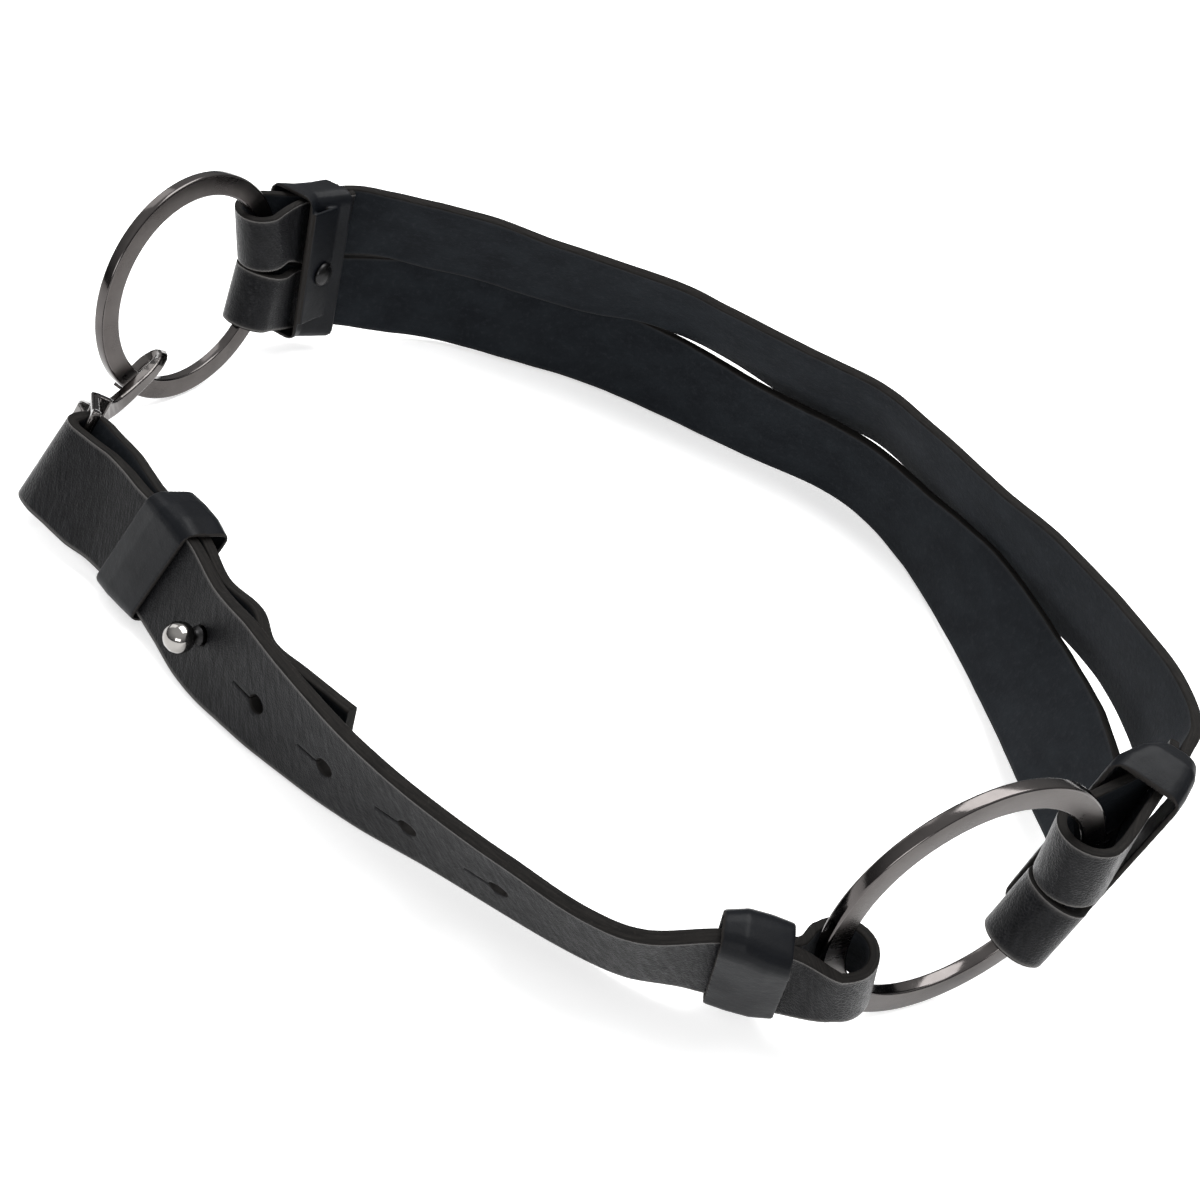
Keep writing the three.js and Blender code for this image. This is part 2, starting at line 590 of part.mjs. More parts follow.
const rivetHole = onWall(new THREE.CylinderGeometry(
  RIVET_HOLE_RADIUS, RIVET_HOLE_RADIUS, RIVET_HOLE_LENGTH, HOLE_SIDES));
const rivetCurve = RIVET_PROFILE.map(({ r, out }) => new THREE.Vector2(r, out));
const rivet = onWall(new THREE.LatheGeometry(rivetCurve, TURNED_SIDES));
addPiece('keeper_left', cut(join(leftBand.geometry, tab), rivetHole), keeperLeather);
addPiece('keeper_left_rivet', rivet, gunmetal);
const RIGHT_STATION = backStation(RIGHT_BAND_Y, 1, RIGHT_AHEAD, RIGHT_BAND_SHIFT);
const rightBand = bandRound([lowerShape, upperShape], RIGHT_STATION, RIGHT_BAND_LENGTH, DOUBLE_TALLEST);
addPiece('keeper_right', rightBand.geometry, keeperLeather);

// Hook: a slotted eye whose two long bars stand along the strap's width, one inside the loop and one
// behind it, and an arm from the outer bar that turns round the left ring's bar
const EYE_TOP = vec(-96.0, -57.0, 31.3);
const EYE_FOOT = vec(-98.8, -69.0, 3.4);
const EYE_REACH = vec(-0.82, 0.57, 0);
const EYE_SLOT = 8.9;
const EYE_BAR = 2.2;
const EYE_BAR_WIDTH = 2.3;
const EYE_RAIL = 1.8;
const EYE_BODY_WIDTH = 4.4;
const EYE_BODY_SHIFT = 2.2;
const eyeAcross = EYE_TOP.clone().sub(EYE_FOOT);
eyeAcross.normalize();
const eyeSide = new THREE.Vector3().crossVectors(eyeAcross, EYE_REACH).normalize();
const eyeReach = new THREE.Vector3().crossVectors(eyeSide, eyeAcross).normalize();

function eyeFrame() {
  const near = EYE_TOP.clone();
  const far = along(near, eyeReach, EYE_SLOT + EYE_BAR);
  const foot = EYE_FOOT.clone();
  const farFoot = along(foot, eyeReach, EYE_SLOT + EYE_BAR);
  const half = EYE_BAR / 2;
  const shift = eyeSide.clone().multiplyScalar(-EYE_BODY_SHIFT);
  const bar = (from, to, width, thick) => {
    const run = to.clone().sub(from).normalize();
    return ribbon([
      { at: along(from, run, -half), up: eyeSide, width, thick },
      { at: along(to, run, half), up: eyeSide, width, thick },
    ]);
  };
  return [
    bar(near, foot, EYE_BAR_WIDTH, EYE_BAR),
    bar(far.clone().add(shift), farFoot.clone().add(shift), EYE_BODY_WIDTH, EYE_BAR),
    bar(near, far, EYE_BAR_WIDTH, EYE_RAIL),
    bar(foot, farFoot, EYE_BAR_WIDTH, EYE_RAIL),
  ];
}

// The arm's turn round the ring's bar: angle on the ring, distance from its centre, side of its face
const TURN_ROWS = [
  { degrees: 217, radius: 41, face: 6.0, width: 5.2 },
  { degrees: 222.6, radius: 34.2, face: 4.7, width: 4.4 },
  { degrees: 228, radius: 27.2, face: 4.2, width: 4 },
  { degrees: 236.5, radius: 22.6, face: 2.2, width: 4 },
  { degrees: 243, radius: 21.6, face: 0, width: 4 },
  { degrees: 246, radius: 22.8, face: -2.2, width: 4 },
  { degrees: 243.5, radius: 25.6, face: -3.8, width: 3.8 },
  { degrees: 240, radius: 28.6, face: -4.2, width: 3.6 },
  { degrees: 236, radius: 32.4, face: -4.3, width: 3.2 },
  { degrees: 234, radius: 35.8, face: -4.5, width: 2.8 },
];
const TURN_THICK = 3.2;
const TURN_STEP = 3.2;
const ARM_ROOT = 0.42;
const ARM_BEND = vec(0.8, 1, 1.5);
function hookArm() {
  const turn = TURN_ROWS.map(({ degrees, radius, face, width }) => {
    const { place, run } = barAt(leftRing, degrees, radius);
    return { at: along(place, leftRing.face, face), up: run, width, thick: TURN_THICK };
  });
  const root = along(EYE_TOP.clone().lerp(EYE_FOOT, ARM_ROOT), eyeReach, EYE_SLOT + EYE_BAR);
  const neck = [
    { at: along(root, eyeSide, -EYE_BODY_SHIFT), up: eyeAcross, width: 15, thick: 5 },
    { at: along(root, eyeReach, 6).add(ARM_BEND), up: eyeAcross, width: 11, thick: 4.8 },
  ];
  return ribbon(smoothSections([...neck, ...turn], TURN_STEP));
}
addPiece('hook', join(...eyeFrame(), hookArm()), gunmetal);


// The origin goes to the bottom centre of the belt's box
const bounds = new THREE.Box3().setFromObject(belt);
const centre = bounds.getCenter(new THREE.Vector3());
belt.children.forEach((mesh) => mesh.geometry.translate(-centre.x, -centre.y, -bounds.min.z));

export default belt;
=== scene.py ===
# %% [markdown]
# # Ring belt
# The CAD frame holds every piece at its real size: two flat rings, three straps, four bands, a ball stud,
# a rivet and a cast hook. This lesson dresses them. Stud, rivet, bands and hook are read back from their
# CAD nodes and made finer. Rings and straps are made again from the sizes and rows that shape their CAD
# solids, because a finer sweep gives an even surface and a map for the grain, which the facets of a solid
# could not.

import math

import bmesh
import bpy
import numpy as np
from mathutils import Matrix, Vector, noise


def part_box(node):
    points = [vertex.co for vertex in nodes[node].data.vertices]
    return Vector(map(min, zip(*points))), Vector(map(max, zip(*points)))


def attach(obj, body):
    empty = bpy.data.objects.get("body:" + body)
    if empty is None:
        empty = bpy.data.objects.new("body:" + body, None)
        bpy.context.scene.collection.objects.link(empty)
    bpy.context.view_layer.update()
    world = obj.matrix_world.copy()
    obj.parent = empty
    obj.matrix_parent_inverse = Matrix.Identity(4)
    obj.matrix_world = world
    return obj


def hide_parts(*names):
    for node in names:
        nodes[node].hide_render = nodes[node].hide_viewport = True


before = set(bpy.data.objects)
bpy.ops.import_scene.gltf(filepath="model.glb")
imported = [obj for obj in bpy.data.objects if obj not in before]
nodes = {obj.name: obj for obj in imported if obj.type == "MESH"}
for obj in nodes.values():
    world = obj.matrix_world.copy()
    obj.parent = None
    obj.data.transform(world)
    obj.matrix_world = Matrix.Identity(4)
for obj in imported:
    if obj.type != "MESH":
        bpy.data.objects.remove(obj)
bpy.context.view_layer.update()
MM = 0.001
print("CAD nodes:", ", ".join(sorted(nodes)))

# %% [markdown]
# ## From points to objects
# Every piece goes through the same three steps: a mesh is taken from the editor, an object shows it in
# the scene, and where a modifier works on it, the result is read back as a plain mesh. Small helpers keep
# that in one place.

# %% Helpers for meshes and objects


def mesh_from(bm, name, materials=()):
    """The edited mesh under a name, with its material slots. The editor's copy is freed."""
    mesh = bpy.data.meshes.new(name)
    bm.to_mesh(mesh)
    bm.free()
    for material in materials:
        mesh.materials.append(material)
    return mesh


def in_scene(name, data):
    made = bpy.data.objects.new(name, data)
    bpy.context.scene.collection.objects.link(made)
    return made


def evaluated_mesh(piece):
    """A plain mesh of a piece as its modifiers leave it."""
    bpy.context.view_layer.update()
    return bpy.data.meshes.new_from_object(piece.evaluated_get(bpy.context.evaluated_depsgraph_get()))


def unit(v):
    return v / np.linalg.norm(v)


print("mesh helpers ready")

# %% [markdown]
# ## Node trees in a few words
# Every finish here is a small tree of shader nodes. A helper that adds a node, sets its inputs and links
# others to it keeps each recipe short, and makes the recipes readable side by side.

# %% A helper for shader nodes


class Tree:
    """Adds nodes to a material and links them. Inputs are constants or other nodes' outputs."""

    def __init__(self, name):
        self.material = bpy.data.materials.new(name)
        self.material.use_nodes = True
        self.nodes = self.material.node_tree.nodes
        self.links = self.material.node_tree.links
        self.shader = self.nodes["Principled BSDF"]

    def add(self, kind, inputs=None, out=0, **settings):
        node = self.nodes.new(kind)
        for key, value in settings.items():
            setattr(node, key, value)
        for key, value in (inputs or {}).items():
            self.put(node.inputs[key], value)
        return node.outputs[out]

    def put(self, socket, value):
        if isinstance(value, bpy.types.NodeSocket):
            self.links.new(value, socket)
        else:
            socket.default_value = value

    def finish(self, **inputs):
        for key, value in inputs.items():
            self.put(self.shader.inputs[key.replace("_", " ")], value)
        return self.material

    def surface_place(self, stretch=(1, 1, 1), turn=0.0):
        """Metres along and across a strap, from its own map, turned by degrees and then stretched."""
        place = self.add("ShaderNodeUVMap", uv_map="UVMap")
        return self.moved(place, stretch, turn)

    def solid_place(self, stretch=(1, 1, 1), turn=0.0):
        place = self.add("ShaderNodeTexCoord", out="Object")
        return self.moved(place, stretch, turn)

    def moved(self, place, stretch, turn):
        scale = tuple(1 / size for size in stretch)
        inputs = {"Vector": place, "Scale": scale, "Rotation": (0, 0, math.radians(turn))}
        return self.add("ShaderNodeMapping", inputs, vector_type="TEXTURE")

    def noise(self, place, scale, detail=3.0, roughness=0.5):
        inputs = {"Vector": place, "Scale": scale, "Detail": detail, "Roughness": roughness}
        return self.add("ShaderNodeTexNoise", inputs)

    def cells(self, place, scale, feature="DISTANCE_TO_EDGE"):
        return self.add("ShaderNodeTexVoronoi", {"Vector": place, "Scale": scale}, feature=feature)

    def ramp(self, value, low, high, to_low=0.0, to_high=1.0):
        inputs = {0: value, 1: low, 2: high, 3: to_low, 4: to_high}
        return self.add("ShaderNodeMapRange", inputs)

    def mix(self, share, first, second):
        """Two colours by a share. The node's inputs 6 and 7 and its output 2 are the ones for colours."""
        inputs = {0: share, 6: (*first, 1) if isinstance(first, tuple) else first}
        inputs[7] = (*second, 1) if isinstance(second, tuple) else second
        return self.add("ShaderNodeMix", inputs, out=2, data_type="RGBA")

    def maths(self, operation, first, second=0.0):
        return self.add("ShaderNodeMath", {0: first, 1: second}, operation=operation)

    def bump(self, height, distance, strength=1.0, normal=None):
        inputs = {"Height": height, "Distance": distance, "Strength": strength}
        if normal is not None:
            inputs["Normal"] = normal
        return self.add("ShaderNodeBump", inputs)

    def attribute(self, name):
        return self.add("ShaderNodeAttribute", out="Fac", attribute_name=name)


print("shader helper ready")

# %% [markdown]
# ## Grain side of the strap
# The outer face is charcoal leather with a fine pebble, long soft creases that run slantwise, and a soft
# sheen. The creases carry painted shade in their valleys and a painted highlight on their ridges. Where it
# bends round a ring it is polished by use. Its border carries a thin painted highlight, a lighter line
# along the rim. All of it is worked out from the strap's own map, so the grain follows the strap round
# each bend.

# %% Grain leather


def grain_leather():
    t = Tree("strap_grain")
    place = t.surface_place()
    slant = t.surface_place(stretch=(190, 760, 1), turn=111)
    cross = t.surface_place(stretch=(330, 620, 1), turn=62)
    pebble = t.cells(place, 1250.0)
    crease = t.noise(slant, 1.0, 4.0, 0.62)
    check = t.noise(cross, 1.0, 3.0, 0.6)
    broad = t.noise(place, 38.0, 3.0, 0.55)
    bend = t.attribute("bend")
    # Painted shade and highlight: the crease valleys are painted darker and their ridges lighter, following
    # the same relief as the bump.
    tone = t.mix(t.ramp(crease, 0.4, 0.62), (0.0018, 0.002, 0.0026), (0.0068, 0.007, 0.0082))
    tone = t.mix(t.ramp(broad, 0.35, 0.7, 0.0, 0.7), tone, (0.005, 0.005, 0.0056))
    # Painted highlight: a thin lighter line along the rim of the grain face, next to the rounded edge.
    tone = t.mix(t.attribute("rim"), tone, (0.1, 0.096, 0.093))
    rough = t.ramp(crease, 0.3, 0.7, 0.58, 0.43)
    rough = t.maths("SUBTRACT", rough, t.maths("MULTIPLY", bend, 0.2))
    depth = t.maths("SUBTRACT", 0.9, t.maths("MULTIPLY", bend, 0.7))
    coarse = t.bump(crease, 0.0003, depth)
    coarse = t.bump(check, 0.0002, depth, coarse)
    fine = t.bump(t.ramp(pebble, 0.0, 0.2), 0.00008, 0.7, coarse)
    return t.finish(
        Base_Color=tone, Roughness=rough, Normal=fine, Specular_IOR_Level=0.1, Sheen_Weight=0.004,
        Sheen_Roughness=0.4,
    )


STRAP_GRAIN = grain_leather()
print("made", STRAP_GRAIN.name)

# %% [markdown]
# ## Flesh side and raw edge
# The inner face is suede: matte, with a short mottled nap whose raised points are painted lighter, a
# painted sheen where it would catch the light unevenly. The cut edges are bare fibre, browner than either
# face and streaked along the strap. They are separate finishes on the faces of one mesh, because the real
# strap shows a hard line where the blade changed one into the other.

# %% Suede and cut edge


def flesh_leather():
    t = Tree("strap_flesh")
    place = t.surface_place()
    nap = t.noise(place, 520.0, 5.0, 0.7)
    clouds = t.noise(t.surface_place(stretch=(75, 120, 1), turn=15), 1.0, 4.0, 0.6)
    pits = t.cells(place, 620.0, "F1")
    fibre = t.noise(t.surface_place(stretch=(700, 2300, 1), turn=20), 1.0, 3.0, 0.6)
    tone = t.mix(t.ramp(clouds, 0.34, 0.66), (0.0026, 0.0038, 0.0056), (0.0062, 0.0082, 0.0106))
    # Painted sheen: the raised points of the nap, which the bump lifts, are painted lighter.
    tone = t.mix(t.ramp(nap, 0.52, 0.74, 0.0, 0.5), tone, (0.017, 0.0185, 0.022))
    # Painted highlight: a fainter lighter line along the rim of the suede face.
    tone = t.mix(t.maths("MULTIPLY", t.attribute("rim"), 0.4), tone, (0.03, 0.03, 0.031))
    coarse = t.bump(nap, 0.00022, 0.7)
    coarse = t.bump(t.ramp(pits, 0.0, 0.35), 0.00009, 0.35, coarse)
    fine = t.bump(fibre, 0.00008, 0.6, coarse)
    return t.finish(
        Base_Color=tone, Roughness=0.82, Normal=fine, Specular_IOR_Level=0.13, Sheen_Weight=0.02,
        Sheen_Roughness=0.5, Sheen_Tint=(0.8, 0.87, 1.0, 1),
    )


def raw_edge():
    t = Tree("strap_edge")
    streak = t.noise(t.surface_place(stretch=(160, 1900, 1)), 1.0, 4.0, 0.65)
    speck = t.noise(t.surface_place(), 900.0, 3.0, 0.6)
    tone = t.mix(t.ramp(streak, 0.35, 0.68), (0.0042, 0.0039, 0.0037), (0.0125, 0.0112, 0.0102))
    tone = t.mix(t.ramp(speck, 0.58, 0.76, 0.0, 0.45), tone, (0.026, 0.023, 0.021))
    lines = t.bump(streak, 0.00012, 0.8)
    fine = t.bump(speck, 0.00006, 0.5, lines)
    return t.finish(Base_Color=tone, Roughness=0.78, Normal=fine, Specular_IOR_Level=0.12)


STRAP_FLESH = flesh_leather()
STRAP_EDGE = raw_edge()
print("made", STRAP_FLESH.name, "and", STRAP_EDGE.name)

# %% [markdown]
# ## Band leather
# The bands are smoother, glossier leather with blue-grey highlights, tiny pores and a few scuffs. They
# have no map of their own, so their finish is worked out through the solid, in the object's coordinates.

# %% Smooth band leather


def band_leather():
    t = Tree("band_leather")
    place = t.solid_place()
    pores = t.cells(place, 1700.0, "F1")
    wrinkle = t.noise(t.solid_place(stretch=(420, 420, 520)), 1.0, 4.0, 0.6)
    broad = t.noise(place, 90.0, 3.0, 0.5)
    scuff = t.noise(t.solid_place(stretch=(900, 300, 250)), 1.0, 2.0, 0.7)
    tone = t.mix(t.ramp(broad, 0.35, 0.65), (0.0022, 0.0027, 0.0038), (0.0042, 0.0049, 0.0064))
    tone = t.mix(t.ramp(scuff, 0.66, 0.78, 0.0, 0.4), tone, (0.009, 0.01, 0.012))
    edge = t.ramp(t.attribute("cut"), 0.45, 0.8)
    tone = t.mix(edge, tone, (0.015, 0.0135, 0.0125))
    rough = t.ramp(broad, 0.3, 0.7, 0.46, 0.36)
    rough = t.maths("MAXIMUM", rough, t.maths("MULTIPLY", edge, 0.75))
    coarse = t.bump(wrinkle, 0.00016, 0.45)
    fine = t.bump(t.ramp(pores, 0.0, 0.3), 0.00005, 0.5, coarse)
    return t.finish(Base_Color=tone, Roughness=rough, Normal=fine, Specular_IOR_Level=0.11)


BAND_LEATHER = band_leather()
print("made", BAND_LEATHER.name)

# %% [markdown]
# ## Metals
# The rings are cast and tumbled: their broad faces are satin grey-brown and their narrow walls stay
# polished. The hook is polished all over but never quite even. The stud's ball is brighter nickel. Its
# neck is dark metal, painted shade under the ball, and the rivet is dark metal too. One recipe with
# different numbers makes all five, so the family likeness is kept.

# %% Metal finishes


def metal(name, dark, light, rough, grain, streaked=False):
    """A metal between two tones and two roughnesses. The grain is the depth of its tooth and scratches."""
    t = Tree(name)
    place = t.solid_place()
    cloud = t.noise(place, 70.0, 4.0, 0.6)
    tooth = t.noise(place, 2600.0, 2.0, 0.5)
    stretch = (350, 350, 4200) if streaked else (1500, 500, 700)
    scratch = t.noise(t.solid_place(stretch), 1.0, 3.0, 0.6)
    tone = t.mix(t.ramp(cloud, 0.3, 0.7), dark, light)
    spread = t.ramp(cloud, 0.3, 0.72, *rough)
    spread = t.maths("ADD", spread, t.ramp(scratch, 0.5, 0.75, 0.0, 0.07))
    coarse = t.bump(scratch, 0.00003, grain)
    fine = t.bump(tooth, 0.000012, grain, coarse)
    return t.finish(Base_Color=tone, Metallic=1.0, Roughness=spread, Normal=fine)


RING_FACE = metal("ring_satin", (0.054, 0.0485, 0.0465), (0.086, 0.078, 0.0745), (0.24, 0.34), 0.5, True)
RING_WALL = metal("ring_wall", (0.062, 0.057, 0.0555), (0.098, 0.0905, 0.088), (0.08, 0.15), 0.25)
HOOK_METAL = metal("hook_metal", (0.07, 0.065, 0.0625), (0.118, 0.11, 0.106), (0.12, 0.22), 0.4)
NICKEL = metal("nickel", (0.2, 0.193, 0.187), (0.28, 0.27, 0.258), (0.06, 0.13), 0.2)
# Dark metal: painted shade on the stud's neck under the ball, and the rivet's dark colour.
NECK_SHADE_AND_RIVET_METAL = metal("neck_shade_and_rivet_metal", (0.018, 0.018, 0.019), (0.032, 0.031, 0.031), (0.26, 0.4), 0.3)
print("made five metals")

# %% [markdown]
# ## Where the straps run
# A strap is a flat band that follows a path and leans as it goes. A curve with a bevel could carry it,
# but its lean would be hard to steer, so each strap is a short table: a row for each place along its
# lower edge, with the height there and how far its top leans out. The same rows shape the CAD solids, so
# the finer surface made here lies in them. The rows count from the middle between the rings, and the CAD
# box gives the step to the frame. The rows aren't measured sizes and weren't chosen freely by hand.
# Points were picked off the photograph, a fit program turned them into places and leans for one assumed
# camera and wrote the tables, and many rows were rounded or corrected afterwards.

# %% The runs
RING_RADIUS = 35.0
RING_SPACING = 275.4
STRAP_WIDTH = 30.0
FRONT_THICK = 3.0
BACK_THICK = 2.8
LOOP_THICK = 2.2
BELT_MIDDLE = np.array([0.0, 40.0])


def row(x, y, z, lean=None, top=None, width=STRAP_WIDTH, thick=None):
    """A place on a strap's lower edge, and the lean of its top in degrees or its reach in x and y."""
    return {"x": x, "y": y, "z": z, "lean": lean, "top": top, "width": width, "thick": thick}


LOWER_RUN = [
    row(-147.5, 48, 8, lean=2, width=21.5, thick=LOOP_THICK),
    row(-146.5, 62, 6, lean=2, width=24),
    row(-140.5, 80.5, 2.6, lean=2, width=27),
    row(-132, 98, 0.5, lean=1),
    row(-113.5, 114, 0, lean=1),
    row(-89, 131, 0, lean=1),
    row(-60.5, 142.5, 0, lean=-3),
    row(-30.5, 151.5, 0, lean=-13),
    row(-2.5, 161.5, 0, lean=-18),
    row(16, 161, 0, lean=-16),
    row(39.5, 151.5, 0, lean=-7, width=28.6),
    row(67, 132, 1, lean=9, width=30.6),
    row(95.5, 107.5, 3, lean=20),
    row(118, 84, 7, lean=21),
    row(137.5, 64.5, 10.5, lean=15, width=26.5),
    row(144.2, 55.2, 11.5, lean=12, width=25.2),
    row(147.5, 50, 12, lean=10, width=24.5, thick=LOOP_THICK),
]

UPPER_RUN = [
    row(-148.5, 48, 30.6, lean=-2, width=23, thick=LOOP_THICK),
    row(-147.5, 62, 31, lean=-6, width=24),
    row(-143, 74, 31, lean=-20, width=26.5),
    row(-133.5, 88.5, 28.8, lean=-25),
    row(-120.5, 103.5, 27.8, lean=-26),
    row(-106, 116.5, 26.4, lean=-28),
    row(-89.5, 127.5, 27.2, lean=-31),
    row(-75, 135.5, 30.2, lean=-37),
    row(-61.5, 143, 30.2, lean=-38),
    row(-45.5, 148, 29.4, lean=-38),
    row(-18, 156, 25.5, lean=-32),
    row(10, 163, 25.4, lean=-33),
    row(38, 156, 24, lean=-29),
    row(70.5, 142.3, 23.4, lean=-24),
    row(89.5, 132, 25, lean=-20),
    row(116.5, 115, 28.5, lean=-19, width=28.5),
    row(140.5, 87, 32.5, lean=-9, width=28.5),
    row(148.5, 67.5, 37, lean=2, width=25),
    row(150.2, 57.5, 37, lean=3.3, width=24.3),
    row(150.8, 52.5, 37, lean=4, width=24, thick=LOOP_THICK),
]

FRONT_RUN = [
    row(120.5, -32.5, 5.5, lean=12, width=24),
    row(107, -40.5, 4.3, lean=20),
    row(94.5, -48, 1.2, lean=27),
    row(86, -51, 0, lean=28),
    row(66.5, -57, 0, lean=25),
    row(46, -62.5, 0, lean=21),
    row(26, -68.5, 0, lean=12),
    row(1, -72.5, 0, lean=0),
    row(-12.5, -74, 0, lean=-7),
    row(-28.5, -74, 0, lean=-14, width=28),
    row(-45, -72, 2.6, lean=-17, width=28),
    row(-57.2, -70.3, 4, top=(0, 7), width=26.8),
    row(-66.2, -70.2, 3.8, top=(0, 7.6), width=26.8),
    row(-75.7, -70.2, 3.6, top=(0.4, 9), width=27),
    row(-82.9, -71.4, 3.4, top=(0.6, 10.8), width=27.5),
    row(-91.9, -72.1, 4, top=(1.2, 11), width=26.6),
    row(-99.9, -72.6, 4.6, top=(2.2, 11.2), width=26.2),
    row(-104.3, -71.4, 4.6, top=(3.6, 11.4), width=26.2),
    row(-105.7, -68.6, 4.6, top=(4.4, 11.4), width=26.2),
    row(-104.1, -66.1, 4.6, top=(3.6, 11.5), width=26.2),
    row(-98.4, -65.1, 4.6, top=(2.4, 11.4), width=26.2),
    row(-90.4, -65.1, 4, top=(1, 10.8), width=26.6),
    row(-80.9, -65.4, 3.4, top=(1, 10.4), width=27),
    row(-74.7, -65.6, 3.7, top=(1, 9.2), width=26.4),
    row(-66.7, -66.1, 3.9, top=(0.6, 7.9), width=26),
    row(-57.2, -66.5, 4, top=(0.4, 7.1), width=26),
    row(-45, -68, 2.6, lean=-17, width=27),
    row(-31.5, -69.5, 0, lean=-14, width=26.5),
    row(-19, -68, 0, lean=-10, width=26.5),
    row(-7.5, -70.5, 0, lean=-4, width=27),
    row(4.5, -69.5, 0.2, lean=-3, width=27),
    row(19.5, -67, 0.3, lean=0, width=27),
]

ring_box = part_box("ring_left")
STEP_TO_FRAME = np.array((ring_box[0] + ring_box[1]) / 2) / MM - np.array([-RING_SPACING / 2, 0, RING_RADIUS])
print("rows:", len(LOWER_RUN), len(UPPER_RUN), len(FRONT_RUN), "step", STEP_TO_FRAME.round(2))

# %% [markdown]
# ## Sections of a strap
# A section is the strap's middle, its width direction, width and thickness. The long runs come from the
# tables. Round a ring the strap turns about the ring's bar and tucks its end behind itself, which a few
# angles describe better than a table would.

# %% From rows to sections
UP = np.array([0.0, 0.0, 1.0])
GAP = 0.35
FOLD_UPRIGHT = 0.38
FOLD_RADIUS = 6.8
FOLD_BAR_RADIUS = RING_RADIUS - 4.2
FOLD_ANGLES = (70, 110, 145, 180, 215, 250, 290)
FOLDS = {
    "lower": {"left": {"degrees": -20, "width": 18.5}, "right": {"degrees": -24, "width": 17.5}},
    "upper": {"left": {"degrees": 20.5, "width": 18.5}, "right": {"degrees": 14.5, "width": 18}},
    "front": {"right": {"degrees": 204, "width": 15.5, "shift": 1.5}},
}
RINGS = {
    "left": {"x": -RING_SPACING / 2, "face": (0.981, 0.192, 0)},
    "right": {"x": RING_SPACING / 2, "face": (0.927, -0.375, 0)},
}


def section(at, up, width, thick):
    return {"at": at, "up": up, "width": width, "thick": thick}


def run_sections(rows, thick):
    places = np.array([[r["x"], r["y"]] for r in rows])
    result = []
    for i, r in enumerate(rows):
        ahead = unit(places[min(i + 1, len(rows) - 1)] - places[max(i - 1, 0)])
        outward = np.array([-ahead[1], ahead[0]])
        if outward @ (places[i] - BELT_MIDDLE) < 0:
            outward = -outward
        reach = r["top"] if r["lean"] is None else outward * r["width"] * math.sin(math.radians(r["lean"]))
        up = unit(np.array([*reach, math.sqrt(r["width"] ** 2 - reach[0] ** 2 - reach[1] ** 2)]))
        t = r["thick"] or thick
        foot = np.array([r["x"], r["y"], r["z"] + t / 2 * math.hypot(up[0], up[1])])
        result.append(section(foot + up * r["width"] / 2, up, r["width"], t))
    return result


def bar_at(ring, degrees):
    """The place on a ring's bar at an angle from its side direction, and the bar's run there."""
    face = unit(np.array(RINGS[ring]["face"]))
    side = np.array([-face[1], face[0], 0.0])
    a = math.radians(degrees)
    centre = np.array([RINGS[ring]["x"], 0, RING_RADIUS])
    run = -side * math.sin(a) + UP * math.cos(a)
    place = centre + (side * math.cos(a) + UP * math.sin(a)) * FOLD_BAR_RADIUS
    return place, run if run[2] > 0 else -run


def fold_sections(ring, nearest, following, degrees, width, shift=0.0):
    """The tucked short ply, then the way round the bar. The shift moves the round part outward."""
    place, run = bar_at(ring, degrees)
    axis = unit(run * (1 - FOLD_UPRIGHT) + UP * FOLD_UPRIGHT)
    to_bar = place - nearest["at"]
    ahead = unit(-to_bar + axis * (to_bar @ axis))
    travel = unit(following["at"] - nearest["at"])
    inward = unit(np.cross(nearest["up"], travel))
    if inward @ (np.array([*BELT_MIDDLE, 0]) - nearest["at"]) < 0:
        inward = -inward
    across = unit(np.cross(axis, ahead))
    if across @ inward < 0:
        across = -across
    tuck = []
    for s in (following, nearest):
        behind = inward * ((s["thick"] + LOOP_THICK) / 2 + GAP)
        tuck.append(section(s["at"] + behind, s["up"], s["width"], LOOP_THICK))
    turn = []
    for degrees_round in FOLD_ANGLES:
        a = math.radians(degrees_round)
        at = place - across * shift + (ahead * math.cos(a) + across * math.sin(a)) * FOLD_RADIUS
        turn.append(section(at, axis, width, LOOP_THICK))
    return tuck + turn


def back_sections(rows, folds):
    long_run = run_sections(rows, BACK_THICK)
    first = fold_sections("left", long_run[0], long_run[1], **folds["left"])
    last = fold_sections("right", long_run[-1], long_run[-2], **folds["right"])
    return first + long_run + last[::-1]


def front_sections(rows, folds):
    long_run = run_sections(rows, FRONT_THICK)
    return fold_sections("right", long_run[0], long_run[1], **folds["right"]) + long_run


sections = {
    "lower": back_sections(LOWER_RUN, FOLDS["lower"]),
    "upper": back_sections(UPPER_RUN, FOLDS["upper"]),
    "front": front_sections(FRONT_RUN, FOLDS["front"]),
}
print("sections:", {name: len(rows) for name, rows in sections.items()})

# %% [markdown]
# ## A smooth path through the sections
# Straight pieces between sections would show as facets in the sheen. A Catmull-Rom curve passes through
# every section's middle and bends evenly between them. It is sampled about every millimetre and a half,
# fine enough to carry small dents as real shape.

# %% Fine sections
FINE_STEP = 1.5


def eased(start, end, slope_in, slope_out, t):
    """A cubic from start to end that leaves and arrives with the two slopes."""
    rise = end - start
    bend = slope_in + slope_out - 2 * rise
    return start + t * (slope_in + t * (3 * rise - 2 * slope_in - slope_out + t * bend))


def curve_part(p0, p1, p2, p3, t):
    """A centripetal Catmull-Rom curve between p1 and p2."""
    d0, d1, d2 = (max(np.linalg.norm(b - a), 1e-6) ** 0.5 for a, b in ((p0, p1), (p1, p2), (p2, p3)))
    slope_in = ((p1 - p0) / d0 - (p2 - p0) / (d0 + d1) + (p2 - p1) / d1) * d1
    slope_out = ((p2 - p1) / d1 - (p3 - p1) / (d1 + d2) + (p3 - p2) / d2) * d1
    return eased(p1, p2, slope_in, slope_out, t)


def smooth_value(a, b, c, d, t):
    return eased(b, c, (c - a) / 2, (d - b) / 2, t)


